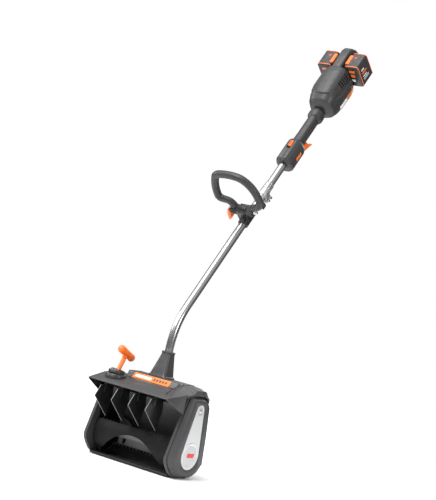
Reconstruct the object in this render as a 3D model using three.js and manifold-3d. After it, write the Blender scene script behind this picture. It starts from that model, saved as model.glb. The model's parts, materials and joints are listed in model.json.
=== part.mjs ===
// Cordless snow blower on a single shaft: a powered paddle head, a bent steering tube with a loop
// handle, a trigger grip, and a motor housing with two slide-on batteries at the top.
// Millimetres, +Z up, +X to the operator's right, +Y towards the operator. The origin is the centre
// of the two side plates' soles, on the ground.
import * as THREE from 'three';
import { mergeVertices } from 'three/addons/utils/BufferGeometryUtils.js';
import Module from 'manifold-3d';

const manifoldLibrary = await Module();
manifoldLibrary.setup();

// ---------------------------------------------------------------- driving dimensions
const GAP = 0.3;                 // clearance kept between touching pieces
const WALL = 3.5;                // moulded shell thickness

const PLATE_IN = 154;            // inner face of the side plates
const PLATE_OUT = 164;           // outer face of the right side plate, and the rim of the left one
const LEFT_OUT = 174;            // outer face of the left side plate
const COVER_OUT = 182.5;         // outer face of the belt cover
const ROTOR_Y = 10;              // rotor axis
const ROTOR_Z = 75;
const ROTOR_R = 66;              // paddle tip radius
const CHAMBER_R = 70;            // inside radius of the rotor chamber
const DRIVE_Y = 15;              // cross shaft axis
const DRIVE_Z = 214;
const INPUT_LEAN = [0.447, 0.894]; // direction of the gearbox input axis in Y and Z
const LARGE_PULLEY_R = 40;
const SMALL_PULLEY_R = 13;
const BELT_X = 173;              // middle plane of the belt
const IDLER_Y = 47.5;
const IDLER_Z = 151;

const LIP_Y = -133;              // front edge of the visor
const LIP_Z = 239;
const LIP_HALF = 156;
const VISOR_BACK_Y = -52;
const VISOR_BACK_HALF = 168;
const DECK_Z = 262;              // level top behind the visor
const BAND_Z = 282;              // raised band that carries the neck
const BAND_LEFT = -96;
const BAND_RIGHT = 118;
const CAP_OUT = 175;             // right end of the hood, over the belt cover

const TUBE_R = 13;
const TUBE_BORE = 11.4;
const TUBE_TILT = THREE.MathUtils.degToRad(55);
const TUBE_ORIGIN = new THREE.Vector3(0, 285, 802);
const BEND_R = 250;
const STRAIGHT_END = -350;       // lower end of the straight stretch, along the tube
const TUBE_TURN = Math.PI / 2 - TUBE_TILT;
const NECK_Y = TUBE_ORIGIN.y + STRAIGHT_END * Math.cos(TUBE_TILT) - BEND_R * (1 - Math.cos(TUBE_TURN));
const BEND_LOW_Z = TUBE_ORIGIN.z + STRAIGHT_END * Math.sin(TUBE_TILT) - BEND_R * Math.sin(TUBE_TURN);
const NECK_TOP = 364;

const HANDLE_T = 38;             // loop handle pivot: along the tube and above it
const HANDLE_N = 40;
const LOOP_LEAN = THREE.MathUtils.degToRad(8);
const LOOP_BAR_R = 13;
const FOOT_OUT = 42.4;           // outer faces of the loop handle's feet

const SPLIT_T = 150;             // where the lower tube meets the upper tube
const TRIGGER_T = 386;           // trigger pivot: along the tube and below it
const TRIGGER_N = -27;
const SWITCH_FROM = 290;
const SWITCH_TO = 393;
const GRIP_TO = 550;
const MOTOR_FROM = 553;
const MOTOR_BODY_TO = 719;
const SPINE_TO = 842;
const SPINE_HALF = 19;

const PACK_IN = 21.5;            // battery: nearest and farthest from the middle plane
const PACK_OUT = 84;
const PACK_FROM = 722;
const PACK_TO = 797;
const PACK_LOW = -30;
const PACK_HIGH = 61;

const VANE_PITCH = 66;
const VANE_PIVOT_Y = -112;
const VANE_T = 2;
const TIE_ARM = 20;              // from the vane pins back to the tie bar
const LEVER_X = -107;
const LEVER_Y = -61;
const LEVER_Z = 262;
const LEVER_ARM = 24;            // from the lever's hub down to the tie bar
const LEVER_TAIL_Y = -82;        // where the lever's tail meets the tie bar's bracket
const LEVER_LEAN = THREE.MathUtils.degToRad(23);

// ---------------------------------------------------------------- materials
function finish(color, roughness, metalness = 0) {
  return new THREE.MeshStandardMaterial({ color, roughness, metalness });
}
const CHARCOAL = [0x47484a, 0.55];
const BLACK = [0x1a1a1c, 0.5];
const ORANGE = [0xf26a22, 0.4];
const ALUMINIUM = [0xc9cbcd, 0.3, 0.9];
const STEEL = [0x9a9c9f, 0.35, 0.9];
const RED = [0xc23340, 0.4];
const RUBBER = [0x222224, 0.9];
const COPPER = [0xb0703a, 0.4, 0.8];
const GREEN = [0x2c5a3c, 0.6];

// ---------------------------------------------------------------- solids
function toSolid(geometry) {
  const bare = geometry.index ? geometry.toNonIndexed() : geometry.clone();
  bare.deleteAttribute('normal');
  bare.deleteAttribute('uv');
  const merged = mergeVertices(bare, 1e-4);
  const triVerts = new Uint32Array(merged.index.array);
  const vertProperties = new Float32Array(merged.attributes.position.array);
  const mesh = new manifoldLibrary.Mesh({ numProp: 3, vertProperties, triVerts });
  return new manifoldLibrary.Manifold(mesh);
}

function toGeometry(solid) {
  const mesh = solid.getMesh();
  const geometry = new THREE.BufferGeometry();
  geometry.setAttribute('position', new THREE.BufferAttribute(new Float32Array(mesh.vertProperties), 3));
  geometry.setIndex(new THREE.BufferAttribute(new Uint32Array(mesh.triVerts), 1));
  geometry.computeVertexNormals();
  return geometry;
}

function join(...solids) {
  return solids.reduce((sum, solid) => sum.add(solid));
}

function cut(solid, ...tools) {
  return tools.reduce((rest, tool) => rest.subtract(tool), solid);
}

function box(x0, x1, y0, y1, z0, z1) {
  const geometry = new THREE.BoxGeometry(x1 - x0, y1 - y0, z1 - z0);
  geometry.translate((x0 + x1) / 2, (y0 + y1) / 2, (z0 + z1) / 2);
  return toSolid(geometry);
}

// A rod between two points; r1 gives a cone when it differs from r0.
function rod(from, to, r0, r1 = r0, segments = 24) {
  const a = new THREE.Vector3(...from);
  const b = new THREE.Vector3(...to);
  const geometry = new THREE.CylinderGeometry(r1, r0, a.distanceTo(b), segments);
  const along = b.clone().sub(a).normalize();
  const turn = new THREE.Quaternion().setFromUnitVectors(new THREE.Vector3(0, 1, 0), along);
  geometry.applyQuaternion(turn);
  geometry.translate((a.x + b.x) / 2, (a.y + b.y) / 2, (a.z + b.z) / 2);
  return toSolid(geometry);
}

function ring(from, to, outer, inner, segments = 24) {
  const a = new THREE.Vector3(...from);
  const b = new THREE.Vector3(...to);
  const over = b.clone().sub(a).normalize();
  const bore = rod(a.clone().sub(over).toArray(), b.clone().add(over).toArray(), inner, inner, segments);
  return rod(from, to, outer, outer, segments).subtract(bore);
}

function shapeOf(points) {
  return new THREE.Shape(points.map(([u, v]) => new THREE.Vector2(u, v)));
}

// A Y-Z outline (or the T-N outline of a piece on the tube) extruded along X.
function slabX(outline, x0, x1) {
  const shape = outline instanceof THREE.Shape ? outline : shapeOf(outline);
  const options = { depth: x1 - x0, bevelEnabled: false, curveSegments: 10 };
  const geometry = new THREE.ExtrudeGeometry(shape, options);
  const basis = new THREE.Matrix4().makeBasis(
    new THREE.Vector3(0, 1, 0), new THREE.Vector3(0, 0, 1), new THREE.Vector3(1, 0, 0));
  geometry.applyMatrix4(basis);
  geometry.translate(x0, 0, 0);
  return toSolid(geometry);
}

// A closed skin through rings of equal point count, with flat ends.
function loft(rings) {
  const count = rings[0].length;
  const positions = [];
  const indices = [];
  rings.forEach((points) => points.forEach((p) => positions.push(...p)));
  for (let i = 0; i < rings.length - 1; i += 1) {
    for (let j = 0; j < count; j += 1) {
      const a = i * count + j;
      const b = i * count + ((j + 1) % count);
      indices.push(a, b, b + count, a, b + count, a + count);
    }
  }
  const closeEnd = (ring, base, alongRing) => {
    const axis = flatAxis(ring);
    const [u, v] = [0, 1, 2].filter((k) => k !== axis);
    const contour = ring.map((p) => new THREE.Vector2(p[u], p[v]));
    const keep = THREE.ShapeUtils.isClockWise(contour) !== alongRing;
    THREE.ShapeUtils.triangulateShape(contour, []).forEach(([a, b, c]) => {
      indices.push(base + a, base + (keep ? b : c), base + (keep ? c : b));
    });
  };
  closeEnd(rings[0], 0, false);
  closeEnd(rings[rings.length - 1], (rings.length - 1) * count, true);
  const geometry = new THREE.BufferGeometry();
  geometry.setAttribute('position', new THREE.BufferAttribute(new Float32Array(positions), 3));
  geometry.setIndex(indices);
  const solid = toSolid(geometry);
  if (solid.volume() > 0) {
    return solid;
  }
  geometry.setIndex(indices.reverse());
  return toSolid(geometry);
}

// The axis that a flat ring faces most nearly.
function flatAxis(points) {
  const third = Math.floor(points.length / 3);
  const twoThirds = Math.floor(points.length / 1.5);
  const [a, b, c] = [points[0], points[third], points[twoThirds]].map((p) => new THREE.Vector3(...p));
  const normal = b.sub(a).cross(c.sub(a)).toArray().map(Math.abs);
  return normal.indexOf(Math.max(...normal));
}

// Rounded-rectangle rings stacked along the tube: each section is [t, halfX, halfN, centreN].
function tubeLoft(sections, squareness = 3, points = 28) {
  return loft(sections.map(([t, halfX, halfN, centre]) => {
    const ringPoints = [];
    for (let i = 0; i < points; i += 1) {
      const angle = -(i / points) * Math.PI * 2;
      const c = Math.cos(angle);
      const s = Math.sin(angle);
      const x = Math.sign(c) * halfX * Math.abs(c) ** (2 / squareness);
      const n = Math.sign(s) * halfN * Math.abs(s) ** (2 / squareness);
      ringPoints.push([x, t, centre + n]);
    }
    return ringPoints;
  }));
}

function sweep(curve, radius, steps, sides = 12) {
  const section = new THREE.Shape();
  section.absarc(0, 0, radius, 0, Math.PI * 2);
  const geometry = new THREE.ExtrudeGeometry(section, {
    steps, curveSegments: sides, bevelEnabled: false, extrudePath: curve });
  return toSolid(geometry);
}

function circleOutline(cy, cz, radius, from, to, steps) {
  const points = [];
  for (let i = 0; i <= steps; i += 1) {
    const angle = THREE.MathUtils.degToRad(from + (to - from) * (i / steps));
    points.push([cy + radius * Math.cos(angle), cz + radius * Math.sin(angle)]);
  }
  return points;
}

// The outline of a band round two circles, as seen along X.
function beltOutline(r0, r1) {
  const dy = DRIVE_Y - ROTOR_Y;
  const dz = DRIVE_Z - ROTOR_Z;
  const lean = THREE.MathUtils.radToDeg(Math.atan2(dz, dy));
  const open = THREE.MathUtils.radToDeg(Math.acos((r0 - r1) / Math.hypot(dy, dz)));
  return [
    ...circleOutline(ROTOR_Y, ROTOR_Z, r0, lean + open, lean + 360 - open, 22),
    ...circleOutline(DRIVE_Y, DRIVE_Z, r1, lean - open, lean + open, 12),
  ];
}

// ---------------------------------------------------------------- scene graph
const machine = new THREE.Group();
const onTube = new THREE.Group();        // local y runs up the tube, local z away from its top side
onTube.position.copy(TUBE_ORIGIN);
onTube.rotation.x = TUBE_TILT;
machine.add(onTube);

function place(group, name, solid, [color, roughness, metalness]) {
  const mesh = new THREE.Mesh(toGeometry(solid), finish(color, roughness, metalness));
  mesh.name = name;
  group.add(mesh);
  return mesh;
}

// ---------------------------------------------------------------- head: plates and housing
const SIDE_OUTLINE = [
  [-50, 194], [-70, 120], [-86, 61], [-81, 46], [-69, 30], [-53, 14], [-35, 3], [-18, 0], [40, 0], [64, 14],
  [87, 42], [76, 138], [59, 237], [48, 251], [28, 258], [-33, 256],
];

// The side outline drawn in towards a point near its back edge, so that the front gets the wide chamfer.
function narrowedSide(front, upDown) {
  const backY = 74;
  const middleZ = 126;
  const span = 160;
  return SIDE_OUTLINE.map(([y, z]) => [
    backY + (y - backY) * (1 - front / span),
    middleZ + (z - middleZ) * (1 - upDown / middleZ),
  ]);
}

function sideAt(points, x) {
  return points.map(([y, z]) => [x, y, z]);
}

function sidePlate(side) {
  const x0 = side < 0 ? -PLATE_OUT : PLATE_IN;
  const x1 = side < 0 ? -PLATE_IN : PLATE_OUT;
  const bearingSeat = rod([x0 - 1, ROTOR_Y, ROTOR_Z], [x1 + 1, ROTOR_Y, ROTOR_Z], 13.3);
  const plate = slabX(SIDE_OUTLINE, x0, x1).subtract(bearingSeat);
  if (side < 0) {
    const boss = loft([sideAt(narrowedSide(1, 1), -PLATE_OUT + 1), sideAt(narrowedSide(14, 9), -LEFT_OUT)]);
    return plate.add(boss).subtract(rod([-PLATE_OUT, ROTOR_Y, ROTOR_Z], [-PLATE_IN, ROTOR_Y, ROTOR_Z], 13.3));
  }
  const idlerStud = rod([x1 - 2, IDLER_Y, IDLER_Z], [BELT_X + 6.3, IDLER_Y, IDLER_Z], 2.9, 2.9, 16);
  return plate.add(idlerStud).subtract(rod([x0 - 1, DRIVE_Y, DRIVE_Z], [x1 + 1, DRIVE_Y, DRIVE_Z], 8));
}

function augerHousing() {
  const inside = [
    ...circleOutline(ROTOR_Y, ROTOR_Z, CHAMBER_R, -106, 0, 10),
    [76, 104], [-12, 186], [-49, 219],
  ];
  const outside = [
    [-46, 223], [-8, 191], [72, 119], [70, 138], [53, 234], [57, 235], [75, 138], [83.5, 72],
    ...circleOutline(ROTOR_Y, ROTOR_Z, CHAMBER_R + WALL, -12, -60, 5),
    [34, 0], [-10.2, 0],
  ];
  return slabX([...inside, ...outside], -PLATE_IN + GAP, PLATE_IN - GAP);
}

function scraperBlade() {
  const outline = [[-50, 3], [-14, 1.6], [-11, 4.4], [-10.5, 7.2], [-49, 9.5]];
  return slabX(outline, -PLATE_IN + GAP, PLATE_IN - GAP);
}

function beltCover() {
  const rim = narrowedSide(3, 4);
  const shell = loft([
    sideAt(rim, PLATE_OUT + GAP), sideAt(rim, PLATE_OUT + 7), sideAt(narrowedSide(17, 12), COVER_OUT),
  ]);
  const room = [PLATE_OUT - 1, COVER_OUT - 2.4];
  const hollow = slabX(beltOutline(LARGE_PULLEY_R + 6, SMALL_PULLEY_R + 8), ...room)
    .add(rod([room[0], IDLER_Y, IDLER_Z], [room[1], IDLER_Y, IDLER_Z], 10, 10, 20));
  const badgeSeat = slabX(beltOutline(46, 21), COVER_OUT - 1.2, COVER_OUT + 5);
  return shell.subtract(hollow).subtract(badgeSeat);
}

function coverBadge() {
  return slabX(beltOutline(45, 20), COVER_OUT - 0.9, COVER_OUT + 0.9);
}

// ---------------------------------------------------------------- head: hood, label and neck
function visorRing(y, half, top, low, wall) {
  return [
    [-half, y, low], [-half, y, top], [half, y, top], [half, y, low],
    [half - wall, y, low], [half - wall, y, top - wall],
    [-half + wall, y, top - wall], [-half + wall, y, low],
  ];
}

function hoodPiece() {
  const visor = loft([
    visorRing(LIP_Y, LIP_HALF, LIP_Z + 0.5, LIP_Z - 5, 4),
    visorRing(VISOR_BACK_Y, VISOR_BACK_HALF, 257, 196, 4),
  ]);
  const deck = slabX([[-54, 252.6], [-54, 257.5], [-24, DECK_Z + 1], [44, DECK_Z + 1], [61, 252],
    [65, 239], [61, 238.6], [51, 254], [30, 258.8], [-35, 258.8]], -PLATE_OUT, CAP_OUT);
  const band = slabX([[-24, DECK_Z - 2], [-15, BAND_Z], [46, BAND_Z], [60, 258], [56, 254.6], [-24, 259.4]],
    BAND_LEFT, BAND_RIGHT);
  const bandHollow = slabX([[-19, 250], [-11, BAND_Z - WALL], [43, BAND_Z - WALL], [54, 250]],
    BAND_LEFT + WALL, BAND_RIGHT - WALL);
  const hump = rod([BAND_RIGHT - 70, 30, 259], [CAP_OUT, 28, 257], 24, 18, 24);
  const humpHollow = rod([BAND_RIGHT - 74, 30, 259], [CAP_OUT - WALL, 28, 257], 20.5, 14.5, 24);
  const below = box(-200, 200, -60, 100, 100, 258.8);
  const neckHole = rod([0, NECK_Y, 240], [0, NECK_Y, 300], TUBE_R + 0.4);
  const leverHole = box(LEVER_X - 15, LEVER_X + 15, LEVER_Y - 19, LEVER_Y + 17, 200, 300);
  return join(visor, deck, band, hump.subtract(below))
    .subtract(bandHollow).subtract(humpHollow).subtract(neckHole).subtract(leverHole);
}

function hoodLabel() {
  const along = new THREE.Vector2(-15 + 24, BAND_Z - DECK_Z + 2).normalize();
  const out = new THREE.Vector2(-along.y, along.x).multiplyScalar(GAP);
  const thick = out.clone().multiplyScalar(3.5);
  const corner = (s, d) => [-24 + along.x * s + d.x, DECK_Z - 2 + along.y * s + d.y];
  return slabX([corner(4, out), corner(22, out), corner(22, thick), corner(4, thick)], -72, 72);
}

function neckRing(z, centreY, halfX, halfY, corner) {
  const shape = new THREE.Shape();
  shape.moveTo(-halfX + corner, centreY - halfY);
  shape.lineTo(halfX - corner, centreY - halfY);
  shape.absarc(halfX - corner, centreY - halfY + corner, corner, -Math.PI / 2, 0);
  shape.absarc(halfX - corner, centreY + halfY - corner, corner, 0, Math.PI / 2);
  shape.absarc(-halfX + corner, centreY + halfY - corner, corner, Math.PI / 2, Math.PI);
  shape.absarc(-halfX + corner, centreY - halfY + corner, corner, Math.PI, Math.PI * 1.5);
  const points = shape.getPoints(5).slice(0, -1);
  const kept = points.filter((p, i) => i === 0 || p.distanceTo(points[i - 1]) > 1e-3);
  return kept.map((p) => [p.x, p.y, z]);
}

function neckSocket() {
  const body = loft([
    neckRing(NECK_TOP, NECK_Y, 16, 15, 7),
    neckRing(NECK_TOP - 4, NECK_Y, 19, 18, 8),
    neckRing(BAND_Z + 6, NECK_Y - 10, 31, 26, 11),
    neckRing(BAND_Z + GAP, NECK_Y - 10, 36, 28, 11),
  ]);
  return body.subtract(rod([0, NECK_Y, BAND_Z - 2], [0, NECK_Y, NECK_TOP + 2], TUBE_R + GAP));
}

// ---------------------------------------------------------------- head: discharge vanes and their lever
function vane(index) {
  const x = (index - 1.5) * VANE_PITCH;
  const outline = [[-134, 228], [-156, 191], [-80, 129], [-66, 190], [-74, 240]];
  const blade = slabX(outline, x - VANE_T / 2, x + VANE_T / 2);
  const above = slabX([[-200, 226.3], [-134, 226.3], [-54, 236], [-54, 300], [-200, 300]], x - 9, x + 9);
  const pin = rod([x, VANE_PIVOT_Y, 205], [x, VANE_PIVOT_Y, 239], 3, 3, 12);
  return blade.subtract(above).add(pin);
}

function tieBar() {
  const y = VANE_PIVOT_Y + TIE_ARM;
  return box(-110, 110, y - 3, y + 3, LEVER_Z - LEVER_ARM - 1.5, LEVER_Z - LEVER_ARM + 1.5);
}

// The lever leans towards the operator and swings sideways about the line through its hub.
function leverPoint(up, back) {
  return [
    LEVER_X,
    LEVER_Y + Math.sin(LEVER_LEAN) * up + Math.cos(LEVER_LEAN) * back,
    LEVER_Z + Math.cos(LEVER_LEAN) * up - Math.sin(LEVER_LEAN) * back,
  ];
}

function leverBase() {
  const dome = rod([LEVER_X, LEVER_Y, 242], [LEVER_X, LEVER_Y, 263], 37, 31, 32);
  const collar = rod([LEVER_X, LEVER_Y, 262], [LEVER_X, LEVER_Y + 3, 277], 24, 21, 24);
  const racks = [0, 1, 2].map((step) => {
    const y = LEVER_Y + 8 + step * 3;
    return box(LEVER_X - 34 + step * 8, LEVER_X - 16, y, y + 12, 258, 266 + step * 6);
  });
  const slot = box(LEVER_X - 15, LEVER_X + 15, LEVER_Y - 14, LEVER_Y + 18, 230, 300);
  const under = slabX([[-125, 235], [-125, 241.6], [-54, 258], [-24, 263.5], [-24, 235]], -160, -60);
  return cut(join(dome, collar, ...racks), slot, under);
}

function vaneLever() {
  const grip = 74;
  const reach = 30;
  const hub = rod(leverPoint(0, -9), leverPoint(0, 9), 7.5, 7.5, 20);
  const stem = rod(leverPoint(-3, 0), leverPoint(grip, 0), 8, 7, 20);
  const bar = rod(leverPoint(grip, -reach), leverPoint(grip, reach), 13, 13, 16);
  const ends = [-reach, reach].map((back) => {
    const ball = new THREE.SphereGeometry(13, 16, 8);
    ball.translate(...leverPoint(grip, back));
    return toSolid(ball);
  });
  const tail = rod([LEVER_X, LEVER_Y, LEVER_Z], [LEVER_X, LEVER_TAIL_Y, LEVER_Z - LEVER_ARM - 1], 3, 3, 12);
  return join(hub, stem, bar, ...ends, tail);
}

// ---------------------------------------------------------------- head: rotor and belt drive
function rotorShaft() {
  return rod([-PLATE_OUT + 1, ROTOR_Y, ROTOR_Z], [BELT_X + 6, ROTOR_Y, ROTOR_Z], 7);
}

// One curved paddle: a band of the rotor's cylinder whose inner edge is cut to an arch.
function paddle(turn) {
  const half = PLATE_IN - 5;
  const columns = 18;
  const rings = [];
  for (let i = 0; i <= columns; i += 1) {
    const x = -half + (2 * half * i) / columns;
    const span = 24 + 62 * Math.min(1, Math.abs(x) / 118) ** 2.2;
    const outline = [
      ...circleOutline(ROTOR_Y, ROTOR_Z, ROTOR_R, turn, turn + span, 5),
      ...circleOutline(ROTOR_Y, ROTOR_Z, ROTOR_R - 3.5, turn + span, turn, 5),
    ];
    rings.push(outline.map(([y, z]) => [x, y, z]));
  }
  return loft(rings);
}

function rotorPaddles() {
  const first = 143;
  const webs = [];
  [first, first + 180].forEach((turn) => {
    [-147, -74, 0, 74, 147].forEach((x) => {
      const reach = Math.abs(x) > 70 ? 30 : 16;
      const spoke = [
        [ROTOR_Y, ROTOR_Z],
        ...circleOutline(ROTOR_Y, ROTOR_Z, ROTOR_R - 1.5, turn + 1, turn + reach, 3),
      ];
      webs.push(slabX(spoke, x - 2, x + 2));
    });
  });
  const hub = rod([-150, ROTOR_Y, ROTOR_Z], [150, ROTOR_Y, ROTOR_Z], 15);
  const bore = rod([-160, ROTOR_Y, ROTOR_Z], [160, ROTOR_Y, ROTOR_Z], 7 + GAP);
  return join(hub, paddle(first), paddle(first + 180), ...webs).subtract(bore);
}

function bearing(x0, x1) {
  return ring([x0, ROTOR_Y, ROTOR_Z], [x1, ROTOR_Y, ROTOR_Z], 13, 7.3);
}

// Radii alternate between tooth tips and roots round a full turn.
function toothRadii(radius, depth, teeth) {
  return Array.from({ length: teeth * 2 }, (unused, i) => ({
    angle: (i / teeth) * Math.PI,
    reach: i % 2 ? radius - depth : radius,
  }));
}

function pulley(y, z, radius, bore, teeth) {
  const outline = toothRadii(radius - 0.4, 1.2, teeth)
    .map(({ angle, reach }) => [y + reach * Math.cos(angle), z + reach * Math.sin(angle)]);
  const body = slabX(outline, BELT_X - 5.6, BELT_X + 5.6);
  const rims = [[-6.5, -5.5], [5.5, 6.5]].map(([a, b]) =>
    rod([BELT_X + a, y, z], [BELT_X + b, y, z], radius + 2.2, radius + 2.2, 28));
  return join(body, ...rims).subtract(rod([BELT_X - 9, y, z], [BELT_X + 9, y, z], bore, bore, 20));
}

function driveBelt() {
  const outer = slabX(beltOutline(LARGE_PULLEY_R + 2.6, SMALL_PULLEY_R + 2.6), BELT_X - 5, BELT_X + 5);
  const inside = beltOutline(LARGE_PULLEY_R + GAP, SMALL_PULLEY_R + GAP);
  return outer.subtract(slabX(inside, BELT_X - 6, BELT_X + 6));
}

function idlerWheel() {
  return ring([BELT_X - 5, IDLER_Y, IDLER_Z], [BELT_X + 5, IDLER_Y, IDLER_Z], 6, 3.2, 20);
}

function crossShaft() {
  return rod([7.5, DRIVE_Y, DRIVE_Z], [BELT_X + 6, DRIVE_Y, DRIVE_Z], 4.5, 4.5, 20);
}

// A point on the inclined input axis, s millimetres above the cross shaft.
function onInput(s) {
  return [0, DRIVE_Y + INPUT_LEAN[0] * s, DRIVE_Z + INPUT_LEAN[1] * s];
}

// A toothed cone from one point to another.
function bevel(from, to, r0, r1, teeth) {
  const a = new THREE.Vector3(...from);
  const b = new THREE.Vector3(...to);
  const axis = b.clone().sub(a).normalize();
  const side = Math.abs(axis.x) > 0.5 ? new THREE.Vector3(0, 1, 0) : new THREE.Vector3(1, 0, 0);
  const other = axis.clone().cross(side);
  const ringAt = (centre, radius) => toothRadii(radius - 0.8, 1.6, teeth).map(({ angle, reach }) =>
    centre.clone().addScaledVector(side, reach * Math.cos(angle))
      .addScaledVector(other, reach * Math.sin(angle)).toArray());
  return loft([ringAt(a, r0), ringAt(b, r1)]);
}

function crossBevelGear() {
  return bevel([8, DRIVE_Y, DRIVE_Z], [12, DRIVE_Y, DRIVE_Z], 13.3, 20, 20)
    .subtract(rod([0, DRIVE_Y, DRIVE_Z], [20, DRIVE_Y, DRIVE_Z], 4.8, 4.8, 20));
}

function inputBevelGear() {
  const gear = bevel(onInput(13.3), onInput(20), 8, 12, 12);
  return gear.add(rod(onInput(19), onInput(27), 6, 6, 16));
}

function gearboxCase() {
  const outer = box(-19, 34, -9, 43, 189, 248).add(rod([0, NECK_Y, 244], [0, NECK_Y, 259], 15));
  const hollow = box(-16, 31, -6, 40, 192, 245).add(rod([0, NECK_Y, 230], [0, NECK_Y, 270], 12));
  const backWall = slabX([[71, 119], [69.5, 138], [52.5, 234], [49.5, 262], [120, 262], [120, 119]], -40, 60);
  const ceiling = slabX([[-48, 226], [-9, 192], [76, 116], [76, 90], [-60, 90], [-60, 236]], -40, 60);
  const shaftHole = rod([20, DRIVE_Y, DRIVE_Z], [60, DRIVE_Y, DRIVE_Z], 5.2);
  return cut(outer, hollow, backWall, ceiling, shaftHole);
}

// ---------------------------------------------------------------- tube, drive shafts and coupler
// The stretch of the tube that turns from the steering angle to straight down.
class TubeBend extends THREE.Curve {
  getPoint(u) {
    const turnLeft = TUBE_TURN * (1 - u);
    return new THREE.Vector3(
      0, NECK_Y + BEND_R * (1 - Math.cos(turnLeft)), BEND_LOW_Z + BEND_R * Math.sin(turnLeft));
  }
}

function alongTube(t) {
  return [0, TUBE_ORIGIN.y + t * Math.cos(TUBE_TILT), TUBE_ORIGIN.z + t * Math.sin(TUBE_TILT)];
}

function bentRod(radius, top, bottom, sides) {
  const overlap = 0.5;
  return join(
    rod(alongTube(top), alongTube(STRAIGHT_END - overlap), radius, radius, sides * 2),
    sweep(new TubeBend(), radius, 12, sides),
    rod([0, NECK_Y, BEND_LOW_Z + overlap], [0, NECK_Y, bottom], radius, radius, sides * 2),
  );
}

function lowerTube() {
  const top = SPLIT_T - GAP;
  const bottom = 262;
  return bentRod(TUBE_R, top, bottom, 10).subtract(bentRod(TUBE_BORE, top + 1, bottom - 1, 8));
}

function flexibleDriveShaft() {
  const tail = new THREE.CatmullRomCurve3([
    [0, NECK_Y, 266], [0, NECK_Y - 0.5, 260], [0, NECK_Y - 3.5, 251], [0, 30, 242.5], [0, 27.6, 239.2],
  ].map((p) => new THREE.Vector3(...p)));
  return bentRod(4, SPLIT_T - 4, 264, 4).add(sweep(tail, 4, 8, 4));
}

function upperTube() {
  const tube = ring([0, SPLIT_T + GAP, 0], [0, 572, 0], TUBE_R, TUBE_BORE);
  const swage = ring([0, SPLIT_T + 24, 0], [0, SPLIT_T + 46, 0], TUBE_R + 2, TUBE_R - 1);
  return tube.add(swage);
}

const CLAMP_BOLT_T = [SPLIT_T - 1, SPLIT_T + 13];
const CLAMP_BOLT_N = -27;
const KNOB_T = 130;
function couplerClamp() {
  const body = ring([0, SPLIT_T - 10, 0], [0, SPLIT_T + 22, 0], 16.4, TUBE_R + GAP);
  const flange = box(-9, 9, SPLIT_T - 8, SPLIT_T + 20, -33, -14);
  const split = box(-1.5, 1.5, SPLIT_T - 12, SPLIT_T + 24, -40, -8);
  const bolts = CLAMP_BOLT_T.map((t) => rod([-20, t, CLAMP_BOLT_N], [20, t, CLAMP_BOLT_N], 3.3, 3.3, 12));
  return body.add(flange.subtract(rod([0, SPLIT_T - 20, 0], [0, SPLIT_T + 30, 0], TUBE_R + GAP)))
    .subtract(split).subtract(bolts[0]).subtract(bolts[1]);
}

function couplerBolt(t) {
  return join(
    rod([-12, t, CLAMP_BOLT_N], [15, t, CLAMP_BOLT_N], 3, 3, 12),
    rod([9.4, t, CLAMP_BOLT_N], [16, t, CLAMP_BOLT_N], 5, 5, 12),
    rod([-14, t, CLAMP_BOLT_N], [-9.4, t, CLAMP_BOLT_N], 5, 5, 6),
  );
}

function couplerRing() {
  const band = ring([0, 120, 0], [0, SPLIT_T - 11, 0], 16, TUBE_R + GAP);
  const boss = rod([0, KNOB_T, -13], [0, KNOB_T, -22], 7, 7, 16);
  return band.add(boss.subtract(rod([0, 100, 0], [0, 160, 0], TUBE_R + GAP)))
    .subtract(rod([0, KNOB_T, -10], [0, KNOB_T, -30], 3.4, 3.4, 12));
}

function couplerKnob() {
  return join(
    rod([0, KNOB_T, -14], [0, KNOB_T, -30], 3, 3, 12),
    rod([0, KNOB_T, -22.6], [0, KNOB_T, -36], 7, 6, 16),
    box(-3, 3, KNOB_T - 9.5, KNOB_T + 9.5, -44, -30),
  );
}

// ---------------------------------------------------------------- loop handle and its clamp
function handleClamp() {
  const collar = rod([0, 10, 0], [0, 66, 0], 18, 18, 24);
  const block = box(-19, 19, 22, 60, 4, 46);
  const crown = rod([-19, HANDLE_T, HANDLE_N], [19, HANDLE_T, HANDLE_N], 17);
  return join(collar, block, crown)
    .subtract(rod([0, 0, 0], [0, 80, 0], TUBE_R + GAP))
    .subtract(rod([-30, HANDLE_T, HANDLE_N], [30, HANDLE_T, HANDLE_N], 4.4));
}

class LoopPath extends THREE.CatmullRomCurve3 {
  constructor() {
    const outline = [[-29, 40], [-32, 58], [-46, 71], [-70, 75], [-81, 80], [-86, 92], [-84, 128],
      [-74, 162], [-66, 174], [-48, 180], [-10, 182], [28, 176], [54, 158], [72, 130], [80, 98], [77, 78],
      [66, 65], [46, 58], [30, 50], [29, 40]];
    super(outline.map(([x, v]) => new THREE.Vector3(
      x, HANDLE_T + (v - 40) * Math.sin(LOOP_LEAN), HANDLE_N + (v - 40) * Math.cos(LOOP_LEAN))));
  }
}

function loopHandle() {
  const bar = sweep(new LoopPath(), LOOP_BAR_R, 40, 6);
  const feet = [-1, 1].map((side) =>
    rod([side * 19.6, HANDLE_T, HANDLE_N], [side * FOOT_OUT, HANDLE_T, HANDLE_N], 16.5));
  const room = box(-19.4, 19.4, 0, 100, 0, HANDLE_N + 20);
  return join(bar, ...feet).subtract(room)
    .subtract(rod([-60, HANDLE_T, HANDLE_N], [60, HANDLE_T, HANDLE_N], 4.4))
    .subtract(rod([FOOT_OUT, HANDLE_T, HANDLE_N], [80, HANDLE_T, HANDLE_N], 9))
    .subtract(box(-60, 60, -20, 100, -20, HANDLE_N - 17));
}

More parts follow.
